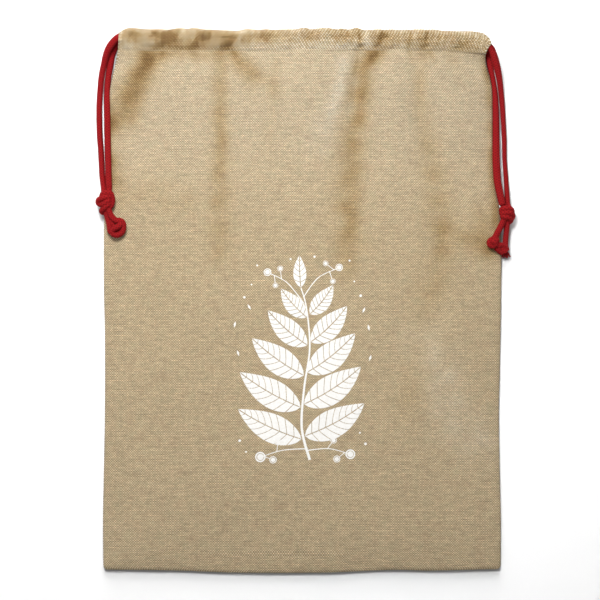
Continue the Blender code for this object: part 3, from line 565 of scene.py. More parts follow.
# How the casing's cloth dips between its gathers: a crease runs from head to foot, in shares of
# the way from the stitch line to the top edge, and its depth falls off sharply to its sides
Pucker = namedtuple("Pucker", "head_x head foot_x foot depth half_width")
PUCKERS = table(Pucker, [
    (-0.218, 0.35, -0.23, 0.05, 0.0012, 0.0035), (-0.183, 0.85, -0.196, 0.4, 0.0016, 0.003),
    (-0.17, 0.55, -0.186, 0.0, 0.0026, 0.0085), (-0.1765, 0.95, -0.179, 0.42, -0.0026, 0.003),
    (-0.16, 0.8, -0.156, 0.35, 0.0014, 0.0032), (-0.148, 0.95, -0.15, 0.55, -0.0014, 0.004),
    (-0.13, 0.6, -0.139, -0.05, 0.0026, 0.008), (-0.1345, 0.92, -0.136, 0.5, -0.0022, 0.003),
    (-0.118, 0.7, -0.122, 0.3, 0.0012, 0.004), (-0.106, 0.85, -0.109, 0.5, -0.0012, 0.005),
    (-0.088, 0.55, -0.099, 0.0, 0.0028, 0.008), (-0.0745, 0.92, -0.084, 0.2, -0.0026, 0.0034),
    (-0.066, 0.8, -0.07, 0.15, 0.0014, 0.0034), (-0.048, 0.75, -0.04, 0.3, 0.0012, 0.0038),
    (-0.015, 0.62, -0.012, 0.25, 0.0008, 0.005), (0.008, 0.75, 0.004, 0.3, 0.001, 0.0036),
    (0.036, 0.9, 0.046, 0.35, 0.0014, 0.0034), (0.0715, 0.97, 0.0745, 0.05, 0.0028, 0.003),
    (0.08, 0.88, 0.082, 0.2, -0.002, 0.0034), (0.103, 0.88, 0.092, 0.05, 0.0028, 0.0044),
    (0.109, 0.85, 0.101, 0.2, -0.0016, 0.0032), (0.122, 0.8, 0.118, 0.2, 0.0012, 0.004),
    (0.136, 0.96, 0.1335, 0.1, 0.0024, 0.003), (0.1425, 0.88, 0.14, 0.3, -0.0014, 0.0032),
    (0.1575, 0.88, 0.1525, 0.05, 0.0024, 0.0036), (0.175, 0.7, 0.17, 0.2, 0.001, 0.005),
    (0.21, 0.6, 0.196, 0.15, 0.002, 0.0085),
])


def pucker_depth(x, share):
    """How far the puckers press the casing in here: share runs from its stitch line to its top."""
    pressed = np.zeros(x.shape)
    for p in PUCKERS:
        t = np.clip((share - p.foot) / (p.head - p.foot), 0.0, 1.0)
        middle = p.foot_x + (p.head_x - p.foot_x) * t
        past = np.abs(share - (p.foot + (p.head - p.foot) * t)) * CASING_HEIGHT
        away = np.hypot(x - middle, past) / p.half_width
        strength = PUCKER_ENDS + (1.0 - PUCKER_ENDS) * np.sin(math.pi * t) ** 0.5
        pressed += p.depth * np.exp(-(away ** 1.4) * 1.2) * strength
    return pressed


def strand_rows(route):
    """The line of a cord's front strand inside the casing, for along()."""
    rows = sorted((x, y) for x, y, z in route
                  if z > STRANDS_ABOVE and STRANDS_START < x < STRANDS_STOP)
    return [Level(x, y) for x, y in rows]


def over_cords(x, y):
    """The least height of the casing's outside that clears the two strands inside it."""
    least = np.zeros(np.shape(x))
    reach = CORD / 2 + CLOTH + CORD_CLEAR
    for route in (LEFT_ROUTE, RIGHT_ROUTE):
        rows = strand_rows(route)
        away = np.abs(y - along(rows, x))
        clears = FRONT_CORD + np.sqrt(np.maximum(reach ** 2 - away ** 2, 0.0))
        least = np.maximum(least, np.where(away < reach, clears, 0.0))
    return least


def casing_share(p, lines):
    """How far up the casing a row's points are, from its stitch line to its top edge."""
    stitch_y, top_y = lines
    return (p[:, 1] - stitch_y) / (top_y - stitch_y)


def press_casing(rows, lines):
    """Press the folds, creases, crumples and puckers into the rows of the casing's front."""
    for p in rows:
        x, y = p[:, 0], p[:, 1]
        share = casing_share(p, lines)
        near = np.minimum(x - p[0, 0], p[-1, 0] - x)
        fade = 1.0 - np.exp(-near / CASING_FADE)
        weight = (np.clip((share - PUCKERS_START) * PUCKER_RAMP, 0.0, 1.0)
                  * np.clip((PUCKERS_STOP - share) * PUCKER_RAMP, 0.0, 1.0))
        carried = fold_relief(FOLDS, x, lines[0]) * (1.0 - FOLD_SHALLOWS) * fade
        carried = carried * (1.0 - ease(share / FOLDS_END))
        carried += fold_relief(CREASES, x, lines[0]) * fade * (1.0 - ease(share / CREASES_END))
        crumpled = CRUMPLE * crumple(x, y) * ease(share * PUCKER_RAMP) * fade
        pressed = PUCKER_RELIEF * pucker_depth(x, share) * fade * weight
        lowered = p[:, 2] - pressed - carried + crumpled
        least = np.minimum(over_cords(x, y), p[:, 2])
        p[:, 2] = np.maximum(lowered, least)


def in_band(share, band):
    return np.exp(-((share - band.middle) / band.width) ** 2)


def front_shade(grid, flat, facing, lines):
    """The front's painted shade, from its folds, creases, casing and cords: the share of the light lost
    at each point of its grid.
    """
    lost = np.zeros(grid.shape[:2])
    x, y = grid[:flat, :, 0], grid[:flat, :, 1]
    near = np.minimum(x - x[:, :1], x[:, -1:] - x)
    fade = 1.0 - np.exp(-near / FOLD_FADE)
    uneven = middling(x * SHADE_GRAIN, y * SHADE_GRAIN)
    lost[:flat] = fold_relief(SHADES, x, y) * (1.0 + BODY_UNEVEN * uneven)
    # painted shade in the small creases
    lost[:flat] += CREASE_SHADE * fold_relief(CREASES, x, y) * fade
    # painted shade on the casing's front in two bands, darker in its puckers and lighter on their
    # ridges
    for k, p in enumerate(grid[flat:flat + facing]):
        share = casing_share(p, lines)
        shaded = along(CASING_SHADE, p[:, 0]) * in_band(share, UPPER_BAND)
        shaded += along(CASING_FOOT_SHADE, p[:, 0]) * in_band(share, FOOT_BAND)
        shaded *= 1.0 + CASING_UNEVEN * middling(p[:, 0], p[:, 1])
        shaded += GRIT_SHADE * grit(p[:, 0], p[:, 1]) * ease(share * GRIT_RAMP)
        pressed = np.maximum(pucker_depth(p[:, 0], share), -RIDGE_SHOWS)
        lost[flat + k] = shaded + PUCKER_SHADE * pressed
    # the casing's lower painted shade reaches a little below its stitch line
    below = np.clip((y - STITCH + BELOW_CASING) / BELOW_CASING, 0.0, 1.0)
    lost[:flat] += np.maximum(along(CASING_FOOT_SHADE, x), 0.0) * BELOW_SHARE * below
    return np.clip(lost, LIGHTEST, DARKEST)


def cloth(name, is_back, columns, body, foot, casing):
    """One panel as a fine sheet: its grid of outer points, then its thickness."""
    rows = [Row("bottom", d) for d in foot] + body
    points, shares = [], None
    for row in rows:
        p, share = row_points(row, columns, is_back)
        points.append(p)
        shares = share if shares is None else shares
    hem = [row_points(row, columns, is_back)[0] for row in casing]
    turned = refined([points[-1]] + hem, CASING_STEPS)[1:]
    facing = (next(k for k, row in enumerate(casing) if row.out == 0.0) + 1) * CASING_STEPS
    lines = along(STITCH_LINE, hem[0][:, 0]), along(TOP_EDGE, hem[0][:, 0])
    if not is_back:
        press_casing(turned[:facing], lines)
    for p in turned:
        p[:, 2] = np.maximum(p[:, 2], 0.0)
    points += turned
    grid = np.array(points)
    flat = len(rows)
    lost = np.zeros(grid.shape[:2]) if is_back else front_shade(grid, flat, facing, lines)
    inner = slice(len(SEAM_COLUMNS) + 1, -len(SEAM_COLUMNS) - 1)
    lengths = np.linalg.norm(np.diff(grid, axis=0), axis=2)[:, inner].mean(axis=1)
    run = np.concatenate([[0.0], np.cumsum(lengths)])
    v = run.copy()
    v[:flat] = grid[:flat, :, 1].mean(axis=1) - bottom_y(0.0)
    v[flat:] = v[flat - 1] + CASING_WEAVE * (run[flat:] - run[flat - 1])
    height, width = grid.shape[:2]
    vertices = grid.reshape(-1, 3)
    quads = grid_quads(height, width)
    if is_back:
        quads = quads[:, ::-1]
    mesh = bpy.data.meshes.new(name)
    mesh.from_pydata(vertices.tolist(), [], quads.tolist())
    place = np.zeros((height, width, 3))
    place[:, :, 0] = shares[None, :] * FLAT_WIDTH
    place[flat:, :, 0] = (0.5 + (shares - 0.5) * CASING_ACROSS)[None, :] * FLAT_WIDTH
    place[:, :, 1] = v[:, None]
    # the third value is the painted shade, which darkens the burlap's colour
    place[:, :, 2] = lost
    store(mesh, "cloth_place", place.reshape(-1, 3))
    mesh.shade_smooth()
    sheet = add(name, mesh)
    solid = sheet.modifiers.new("Cloth", "SOLIDIFY")
    solid.thickness = CLOTH
    solid.offset = -1.0
    return sheet, grid, shares


def grid_quads(height, width, first=0):
    """The faces of a grid of points, row by row."""
    index = np.arange(height * width).reshape(height, width) + first
    quads = np.stack([index[:-1, :-1], index[:-1, 1:], index[1:, 1:], index[1:, :-1]], axis=2)
    return quads.reshape(-1, 4)


def store(mesh, name, values):
    layer = mesh.attributes.new(name, "FLOAT_VECTOR", "POINT")
    layer.data.foreach_set("vector", np.asarray(values, np.float32).ravel())


def add(name, data):
    piece = bpy.data.objects.new(name, data)
    bpy.context.scene.collection.objects.link(piece)
    return piece


def levels(start, stop, step):
    """Straight rows across the body, about a step apart."""
    count = max(round((stop - start) / step), 1)
    return [Row("level", y) for y in np.linspace(start, stop, count + 1)]


# Cords and knots
def smooth_route(points, step):
    """Points a step apart on the smooth curve through a route's own points."""
    points = [Vector(p) for p in points]
    fine = []
    for k in range(len(points) - 1):
        before = points[max(k - 1, 0)]
        a, b = points[k], points[k + 1]
        after = points[min(k + 2, len(points) - 1)]
        for n in range(ROUTE_FINE):
            t = n / ROUTE_FINE
            fine.append(0.5 * (2 * a + (b - before) * t
                               + (2 * before - 5 * a + 4 * b - after) * t * t
                               + (3 * a - before - 3 * b + after) * t ** 3))
    fine.append(points[-1])
    total = sum((q - p).length for p, q in zip(fine, fine[1:]))
    count = max(round(total / step), 2)
    spaced = [fine[0]]
    run = 0.0
    for p, q in zip(fine, fine[1:]):
        length = (q - p).length
        while len(spaced) < count and run + length >= total * len(spaced) / count:
            spaced.append(p.lerp(q, (total * len(spaced) / count - run) / length))
        run += length
    return spaced + [fine[-1]]


def knit(turn, run):
    """How far the yarns of a cord stand out at one place, as a share of its half width."""
    around, ahead = 2.0 * math.pi * KNIT_YARNS * turn, 2.0 * math.pi * run / KNIT_PITCH
    return KNIT_RELIEF * max(math.sin(around + ahead), math.sin(around - ahead))


def sweep(path, radii, sides, start):
    """A round tube along a path: its points, faces and, for each point, (turn, run, 0)."""
    path = [Vector(p) for p in path]
    tangents = []
    for k in range(len(path)):
        tangents.append((path[min(k + 1, len(path) - 1)] - path[max(k - 1, 0)]).normalized())
    normal = tangents[0].orthogonal().normalized()
    points, place = [], []
    run = start
    for k, (at, tangent) in enumerate(zip(path, tangents)):
        if k:
            run += (at - path[k - 1]).length
        normal = (normal - tangent * normal.dot(tangent)).normalized()
        other = tangent.cross(normal)
        for n in range(sides):
            angle = 2.0 * math.pi * n / sides
            radius = radii[k] * (1.0 + (knit(n / sides, run) if sides == CORD_SIDES else 0.0))
            points.append(at + (normal * math.cos(angle) + other * math.sin(angle)) * radius)
            place.append((n / sides, run, 0.0))
    faces = []
    for k in range(len(path) - 1):
        for n in range(sides):
            a, b = k * sides + n, k * sides + (n + 1) % sides
            faces.append((a, b, b + sides, a + sides))
    ends = [(0, path[0] - tangents[0] * radii[0] * CORD_TIP, True),
            (len(path) - 1, path[-1] + tangents[-1] * radii[-1] * CORD_TIP, False)]
    for k, tip, flip in ends:
        points.append(tip)
        place.append((0.0, start if flip else run, 0.0))
        hub = len(points) - 1
        for n in range(sides):
            a, b = k * sides + n, k * sides + (n + 1) % sides
            faces.append((b, a, hub) if flip else (a, b, hub))
    return points, faces, place


def tubes(name, parts):
    """Tubes in one mesh. parts holds (path, radii, sides) for each."""
    vertices, faces, place = [], [], []
    for k, (path, radii, sides) in enumerate(parts):
        p, f, c = sweep(path, radii, sides, start=TUBE_SHIFT * k)
        base = len(vertices)
        vertices += [tuple(v) for v in p]
        faces += [tuple(i + base for i in face) for face in f]
        place += c
    mesh = bpy.data.meshes.new(name)
    mesh.from_pydata(vertices, [], faces)
    store(mesh, "cord_place", place)
    mesh.shade_smooth()
    return add(name, mesh)


# Strands of the knots: the tube's half width, then its points
Strand = namedtuple("Strand", "half points")
LEFT_STRANDS = table(Strand, [
    (0.0034, [(-0.2494, 0.144, 0.0076), (-0.2488, 0.1385, 0.0108), (-0.2478, 0.131, 0.0128),
     (-0.247, 0.123, 0.012), (-0.2468, 0.114, 0.0112)]),
    (0.0036, [(-0.2423, 0.1427, 0.0114), (-0.2424, 0.137, 0.0132), (-0.2428, 0.13, 0.0138),
     (-0.244, 0.122, 0.0124), (-0.244, 0.115, 0.0118)]),
    (0.0036, [(-0.251, 0.13, 0.013), (-0.2495, 0.1335, 0.0168), (-0.245, 0.135, 0.0184),
     (-0.24, 0.134, 0.0176), (-0.2382, 0.1295, 0.016), (-0.238, 0.124, 0.015),
     (-0.2398, 0.1188, 0.0148), (-0.244, 0.116, 0.0142), (-0.248, 0.115, 0.013)]),
    (0.0036, [(-0.2404, 0.1296, 0.016), (-0.2442, 0.13, 0.0192), (-0.2496, 0.1286, 0.0192),
     (-0.2546, 0.1262, 0.0164), (-0.2556, 0.1232, 0.014), (-0.253, 0.1206, 0.015),
     (-0.249, 0.121, 0.018), (-0.245, 0.1236, 0.0196), (-0.2416, 0.1262, 0.018)]),
    (0.0034, [(-0.2408, 0.123, 0.0166), (-0.244, 0.1196, 0.0188), (-0.248, 0.116, 0.0172),
     (-0.2514, 0.1128, 0.0136), (-0.25, 0.1108, 0.0108), (-0.246, 0.112, 0.0104)]),
    (0.0037, [(-0.244, 0.12, 0.015), (-0.2424, 0.1136, 0.0156), (-0.2396, 0.107, 0.0156),
     (-0.2356, 0.102, 0.016), (-0.2318, 0.1, 0.0164), (-0.2276, 0.1, 0.0166), (-0.2244, 0.0966, 0.0162),
     (-0.224, 0.0918, 0.0156), (-0.2252, 0.0866, 0.0152), (-0.229, 0.0832, 0.015),
     (-0.2336, 0.0822, 0.0148), (-0.2372, 0.0842, 0.015), (-0.2374, 0.0884, 0.016),
     (-0.234, 0.0908, 0.0184), (-0.2298, 0.0932, 0.019), (-0.2268, 0.0962, 0.0172)]),
    (0.0035, [(-0.2466, 0.113, 0.013), (-0.2448, 0.106, 0.0124), (-0.2428, 0.099, 0.0124),
     (-0.2416, 0.093, 0.0128), (-0.241, 0.088, 0.013), (-0.2392, 0.0856, 0.0134)]),
    (0.003, [(-0.253, 0.1256, 0.0128), (-0.25, 0.124, 0.014), (-0.245, 0.125, 0.0146),
     (-0.241, 0.12, 0.013), (-0.245, 0.116, 0.0126)]),
    (0.0034, [(-0.24, 0.101, 0.013), (-0.237, 0.095, 0.0132), (-0.233, 0.09, 0.0134),
     (-0.229, 0.088, 0.0132), (-0.227, 0.092, 0.0132)]),
])
RIGHT_STRANDS = table(Strand, [
    (0.0035, [(0.2595, 0.1205, 0.0062), (0.26, 0.116, 0.0078), (0.26, 0.11, 0.009),
     (0.259, 0.103, 0.0084), (0.2582, 0.095, 0.0072), (0.2574, 0.086, 0.006), (0.2566, 0.078, 0.0056),
     (0.2562, 0.07, 0.0064), (0.2568, 0.064, 0.0066)]),
    (0.0038, [(0.2532, 0.1205, 0.0098), (0.254, 0.115, 0.0104), (0.2548, 0.109, 0.0106),
     (0.254, 0.102, 0.0108), (0.2512, 0.095, 0.011), (0.247, 0.0872, 0.0118), (0.2432, 0.08, 0.0134),
     (0.24, 0.075, 0.0146)]),
    (0.0036, [(0.2512, 0.113, 0.0106), (0.2522, 0.1144, 0.013), (0.2566, 0.1158, 0.0148),
     (0.2616, 0.1152, 0.014), (0.2642, 0.112, 0.0112), (0.2636, 0.108, 0.008)]),
    (0.0036, [(0.2512, 0.1096, 0.011), (0.2534, 0.1096, 0.014), (0.2582, 0.1104, 0.0156),
     (0.2628, 0.1092, 0.014), (0.2652, 0.1062, 0.0106), (0.2634, 0.1024, 0.008)]),
    (0.0035, [(0.2516, 0.1062, 0.0116), (0.2548, 0.1052, 0.0142), (0.2594, 0.1046, 0.0142),
     (0.2632, 0.1022, 0.011), (0.2614, 0.0994, 0.008), (0.2576, 0.099, 0.0078)]),
    (0.0036, [(0.242, 0.0776, 0.0146), (0.2386, 0.0764, 0.0154), (0.2358, 0.0738, 0.0156),
     (0.2362, 0.07, 0.0154), (0.2396, 0.0686, 0.0152), (0.243, 0.07, 0.016), (0.242, 0.0734, 0.0176),
     (0.2386, 0.0728, 0.018)]),
    (0.0034, [(0.2406, 0.0706, 0.0148), (0.2444, 0.069, 0.0142), (0.249, 0.0696, 0.0124),
     (0.2532, 0.069, 0.0104), (0.2566, 0.0668, 0.0086), (0.258, 0.063, 0.0072)]),
    (0.0046, [(0.2508, 0.0672, 0.0086), (0.2536, 0.0644, 0.008), (0.2566, 0.0606, 0.0072)]),
    (0.0036, [(0.244, 0.066, 0.012), (0.248, 0.064, 0.01), (0.252, 0.062, 0.0074)]),
    (0.004, [(0.2462, 0.0668, 0.0116), (0.2486, 0.0628, 0.0094), (0.253, 0.0604, 0.0076)]),
    (0.0036, [(0.2392, 0.0768, 0.015), (0.2428, 0.076, 0.015), (0.2464, 0.0764, 0.0134)]),
])
# A cord's half width at shares of the way along it
Half = namedtuple("Half", "share half")
LEFT_HALVES = table(Half, [
    (0.0, 0.0035), (0.05, 0.0036), (0.09, 0.0037), (0.12, 0.0039), (0.14, 0.0043), (0.16, 0.0041),
    (0.176, 0.0033), (0.5, 0.0033), (0.832, 0.0033), (0.848, 0.004), (0.866, 0.0043), (0.9, 0.0038),
    (0.935, 0.004), (1.0, 0.0039),
])
RIGHT_HALVES = table(Half, [
    (0.0, 0.0034), (0.03, 0.0028), (0.06, 0.003), (0.09, 0.0032), (0.115, 0.0036), (0.136, 0.0044),
    (0.158, 0.004), (0.172, 0.0033), (0.5, 0.0033), (0.832, 0.0033), (0.85, 0.0041), (0.88, 0.0036),
    (0.93, 0.0042), (0.965, 0.0047), (1.0, 0.0043),
])
TUFT_ROOT = (0.256, 0.0618, 0.0062)


def tuft(root):
    """The cut end of a cord, frayed into its yarns."""
    draw = np.random.default_rng(7)
    parts = []
    for _ in range(TUFT_YARNS):
        spread_x, spread_z = draw.normal(0.0, 1.0, 2)
        length = draw.uniform(0.005, 0.0092)
        start = Vector(root) + Vector((0.0014 * spread_x, 0.0, 0.001 * abs(spread_z)))
        lean = Vector((0.35 + 0.34 * spread_x, -1.0, 0.22 * spread_z - 0.1)).normalized()
        hang = Vector((0.0005 * draw.normal(), -0.0004, -0.0006))
        path = [start + lean * length * t + hang * t * t for t in np.linspace(0.0, 1.0, TUFT_POINTS)]
        for point in path:
            point.z = max(point.z, 0.0006)
        halves = [0.00055 - 0.00025 * t for t in np.linspace(0.0, 1.0, TUFT_POINTS)]
        parts.append((path, halves, THREAD_SIDES))
    return parts


cords = {}
for side, route, thickness, strands in (("left", LEFT_ROUTE, LEFT_HALVES, LEFT_STRANDS),
                                        ("right", RIGHT_ROUTE, RIGHT_HALVES, RIGHT_STRANDS)):
    path = smooth_route(route, CORD_STEP)
    halves = [float(half) for half in along(thickness, np.linspace(0.0, 1.0, len(path)))]
    raised = [Vector((p.x, p.y, max(p.z + half - CORD / 2, half * (1.0 + KNIT_RELIEF))))
              for p, half in zip(path, halves)]
    piece = tubes(f"cord_{side}", [(raised, halves, CORD_SIDES)])
    parts = []
    for strand in strands:
        line = smooth_route(strand.points, STRAND_STEP)
        parts.append((line, [strand.half] * len(line), CORD_SIDES))
    if side == "right":
        parts += tuft(TUFT_ROOT)
    knot = tubes(f"cord_knot_{side}", parts)
    length = sum((q - p).length for p, q in zip(raised, raised[1:]))
    cords[side] = (piece, knot, raised, length)

FRONT_COLUMNS = 246
BACK_COLUMNS = 90
FRONT_NEAR_CASING = [-0.007, -0.005, -0.0033, -0.002, -0.0008]
BACK_NEAR_CASING = [-0.038, -0.033, -0.028, -0.021, -0.014, -0.0095, -0.005]
front_body = (levels(-0.315, 0.278, 0.0052) + levels(0.2805, 0.3005, 0.002)
              + [Row("stitch", d) for d in FRONT_NEAR_CASING])
back_body = levels(-0.312, 0.266, 0.0075) + [Row("stitch", d) for d in BACK_NEAR_CASING]
front, front_grid, front_shares = cloth("front_cloth", False, FRONT_COLUMNS, front_body,
                                        FRONT_FOOT, FRONT_CASING)
back, _, _ = cloth("back_cloth", True, BACK_COLUMNS, back_body, BACK_FOOT, BACK_CASING)


# The stitches
STITCH_STEP = 0.0043
STITCH_LONG = 0.0032
STITCH_PROUD = 0.00004  # how far a stitch's middle is above the cloth
STITCH_DIVE = 0.0004  # how far its ends are below its middle
STITCH_FIRST = -0.2265
STITCH_LAST = 0.2285
STITCH_BELOW = 0.0003  # how far below the seam's line the thread runs
STITCH_POINTS = 7
THREAD_HALF = 0.00026

# The print: a plain sprig of leaves and berries, in flat pieces just above the cloth
INK_LIFT = 0.00016
MIDRIB = 0.0011
VEIN = 0.0008
VEIN_SLANT = 0.16
STEM_STEP = 0.003
SPINE_STEP = 0.002
STALK = 0.013
BERRY_CORE = 0.62
BERRY_GAP = 0.0007
DIAMOND_HALF = 0.0016
DIAMOND_STRETCH = 2.6

HEM_ROWS = 6  # rows of FRONT_CASING from its top edge on, where the cloth faces down
face_rows = front_grid[:len(front_grid) - HEM_ROWS * CASING_STEPS]


def on_front(x, y):
    """The height of the front cloth, and its place across the cloth, at many points."""
    x, y = np.asarray(x, float), np.asarray(y, float)
    ys = np.array([np.interp(x, row[:, 0], row[:, 1]) for row in face_rows])
    zs = np.array([np.interp(x, row[:, 0], row[:, 2]) for row in face_rows])
    place = np.array([np.interp(x, row[:, 0], front_shares) for row in face_rows])
    height = np.array([np.interp(b, ys[:, k], zs[:, k]) for k, b in enumerate(y)])
    across = np.array([np.interp(b, ys[:, k], place[:, k]) for k, b in enumerate(y)])
    return height, across * FLAT_WIDTH


def stitches(name):
    """The casing's seam: short raised threads in a row, their ends inside the cloth."""
    parts = []
    for x in np.arange(STITCH_FIRST, STITCH_LAST, STITCH_STEP):
        run = np.linspace(-STITCH_LONG / 2, STITCH_LONG / 2, STITCH_POINTS) + x
        y = along(STITCH_LINE, run) - STITCH_BELOW
        rise = STITCH_PROUD - STITCH_DIVE * (np.linspace(-1.0, 1.0, STITCH_POINTS) ** 4)
        z = on_front(run, y)[0] + rise
        parts.append((list(zip(run, y, z)), [THREAD_HALF] * STITCH_POINTS, THREAD_SIDES))
    return tubes(name, parts)


def heading(angle):
    return np.array([math.sin(angle), math.cos(angle)])


def crosswise(line):
    """The directions at right angles to a line, at each of its points."""
    ways = np.gradient(line, axis=0)
    ways /= np.linalg.norm(ways, axis=1)[:, None]
    return np.stack([ways[:, 1], -ways[:, 0]], axis=1)


def flat_curve(points, step):
    """Points a step apart on the smooth curve through some points of the plane."""
    return np.array([tuple(p)[:2] for p in smooth_route([(x, y, 0.0) for x, y in points], step)])


def leaf(base, angle, length, width, bend, veins):
    """A leaf with a bare midrib and bare veins: strips of (x, y) grids. Angles are from +Y."""
    steps = 24
    line = [np.array(base, float)]
    for n in range(steps):
        way = heading(angle + bend * (n + 0.5) / steps)
        line.append(line[-1] + way * length / steps)
    line = np.array(line)
    across = crosswise(line)
    at = np.linspace(0.0, 1.0, steps + 1)

    def place(t, side):
        """side runs from -1 to 1 across the leaf."""
        t = min(max(t, 0.0), 1.0)
        middle = np.array([np.interp(t, at, line[:, k]) for k in (0, 1)])
        normal = np.array([np.interp(t, at, across[:, k]) for k in (0, 1)])
        half = width / 2 * max(math.sin(math.pi * t ** 0.8), 0.0) ** 0.85
        bare = min(MIDRIB / 2, half * 0.5)
        sign = 1.0 if side > 0.0 else -1.0
        return middle + normal * sign * (bare + (half - bare) * abs(side))

    grids = []
    for sign in (-1.0, 1.0):
        for k in range(veins + 1):
            start, stop = k / (veins + 1), (k + 1) / (veins + 1)
            start += VEIN / length / 2 if k else 0.0
            stop -= VEIN / length / 2 if k < veins else 0.0
            grid = []
            for n in range(5):
                t = start + (stop - start) * n / 4
                rise = VEIN_SLANT * math.sin(math.pi * min(t * 1.05, 1.0))
                grid.append([place(t + rise * side ** 1.2, sign * max(side, 1e-3))
                             for side in (0.0, 0.25, 0.5, 0.75, 0.92, 1.0)])
            grids.append(np.array(grid))
    return grids


def stem(points, thick, thin):
    """A line that thins from its first point to its last."""
    line = flat_curve(points, STEM_STEP)
    across = crosswise(line)
    half = np.linspace(thick, thin, len(line))[:, None] / 2
    return [np.stack([line - across * half, line + across * half], axis=1)]


def disc(x, y, half, inner=0.0, sides=22, stretch=1.0, turn=0.0):
    """A round spot, a ring or, with four sides, a diamond."""
    grid = []
    for k in range(sides + 1):
        angle = 2.0 * math.pi * k / sides
        way = np.array([math.cos(angle), math.sin(angle) * stretch])
        way = np.array([way[0] * math.cos(turn) - way[1] * math.sin(turn),
                        way[0] * math.sin(turn) + way[1] * math.cos(turn)])
        grid.append([np.array([x, y]) + way * r for r in (inner, (inner + half) / 2, half)])
    return [np.array(grid)]


def berry(x, y, half):
    core = half * BERRY_CORE
    return disc(x, y, core) + disc(x, y, half, core + BERRY_GAP)


ink_grids = stem([(0.01, -0.2), (0.000, -0.16), (0.003, -0.11), (0.01, -0.06),
                  (0.006, -0.01), (-0.001, 0.016)], 0.0034, 0.0014)
LeafPair = namedtuple("LeafPair", "x y length width lean")  # x and y are where it leaves the stem
LEAF_PAIRS = table(LeafPair, [
    (0.0015, -0.174, 0.088, 0.036, 1.24), (0.0005, -0.134, 0.088, 0.036, 1.16),
    (0.0045, -0.094, 0.08, 0.034, 1.06), (0.009, -0.056, 0.066, 0.029, 0.96),
    (0.008, -0.021, 0.048, 0.022, 0.84),
])
for x, y, length, width, lean in LEAF_PAIRS:
    ink_grids += leaf((x - 0.002, y), -lean - 0.04, length, width, 0.3, 8)
    ink_grids += leaf((x + 0.0024, y + 0.004), lean, length * 0.97, width, -0.34, 8)
ink_grids += leaf((-0.0012, 0.0165), -0.1, 0.04, 0.0165, 0.12, 5)
Spot = namedtuple("Spot", "x y half")
Sprig = namedtuple("Sprig", "stem berries")
SPRIGS = [  # thin stems, each with its berries at the ends of short stalks
    Sprig([(0.006, -0.186), (-0.024, -0.188), (-0.05, -0.196)],
          [Spot(-0.052, -0.1965, 0.0066), Spot(-0.036, -0.2, 0.0046),
           Spot(-0.03, -0.177, 0.0042)]),
    Sprig([(0.008, -0.188), (0.034, -0.186), (0.058, -0.192)],
          [Spot(0.061, -0.193, 0.0062), Spot(0.044, -0.199, 0.0044),
           Spot(0.04, -0.1755, 0.004)]),
    Sprig([(0.003, -0.004), (-0.018, 0.022), (-0.04, 0.034)],
          [Spot(-0.043, 0.0355, 0.0048), Spot(-0.027, 0.04, 0.0036),
           Spot(-0.033, 0.019, 0.0034)]),
    Sprig([(0.002, 0.004), (0.02, 0.028), (0.044, 0.04)],
          [Spot(0.047, 0.0415, 0.0046), Spot(0.03, 0.0465, 0.0034),
           Spot(0.039, 0.024, 0.0034)]),
]
for line, berries in SPRIGS:
    ink_grids += stem(line, 0.0013, 0.0009)
    spine = flat_curve(line, SPINE_STEP)
    for x, y, half in berries:
        spot = np.array([x, y])
        root = min(spine, key=lambda q: abs(np.linalg.norm(q - spot) - STALK))
        way = (spot - root) / np.linalg.norm(spot - root)
        ink_grids += stem([root, spot - way * half], 0.001, 0.0008)
        ink_grids += berry(x, y, half)
SPOTS = table(Spot, [
    (-0.072, 0.004, 0.0016), (-0.063, 0.02, 0.0011), (0.074, 0.006, 0.0018), (0.066, 0.024, 0.0011),
    (-0.078, -0.176, 0.0017), (-0.07, -0.19, 0.0012), (0.08, -0.18, 0.0018), (0.073, -0.166, 0.0012),
    (-0.014, 0.052, 0.0013), (0.016, 0.055, 0.0015), (-0.056, 0.044, 0.0013), (0.06, 0.05, 0.0013),
])
for x, y, half in SPOTS:
    ink_grids += disc(x, y, half, sides=14)
Diamond = namedtuple("Diamond", "x y turn")
DIAMONDS = table(Diamond, [
    (-0.08, -0.066, 0.3), (-0.084, -0.03, -0.2), (0.086, -0.072, -0.3), (0.084, -0.034, 0.2),
    (-0.066, -0.008, 0.5), (0.078, -0.012, -0.4),
])
for x, y, turn in DIAMONDS:
    ink_grids += disc(x, y, DIAMOND_HALF, sides=4, stretch=DIAMOND_STRETCH, turn=turn)

ink_points, ink_faces, ink_count = [], [], 0
for grid in ink_grids:
    height, width = grid.shape[:2]
    ink_points.append(grid.reshape(-1, 2))
    ink_faces += grid_quads(height, width, first=ink_count).tolist()
    ink_count += height * width
ink_points = np.concatenate(ink_points)
ink_z, ink_across = on_front(ink_points[:, 0], ink_points[:, 1])
corners = np.column_stack([ink_points, ink_z + INK_LIFT])
faces = []
for face in ink_faces:
    a, b, c, d = (corners[i] for i in face)
    faces.append(face if np.cross(c - a, d - b)[2] > 0.0 else face[::-1])
ink_mesh = bpy.data.meshes.new("print")
ink_mesh.from_pydata(corners.tolist(), [], faces)
store(ink_mesh, "cloth_place", np.column_stack([ink_across, ink_points[:, 1] - bottom_y(0.0),
                                                np.zeros(len(corners))]))
ink_mesh.shade_smooth()
ink = add("print", ink_mesh)


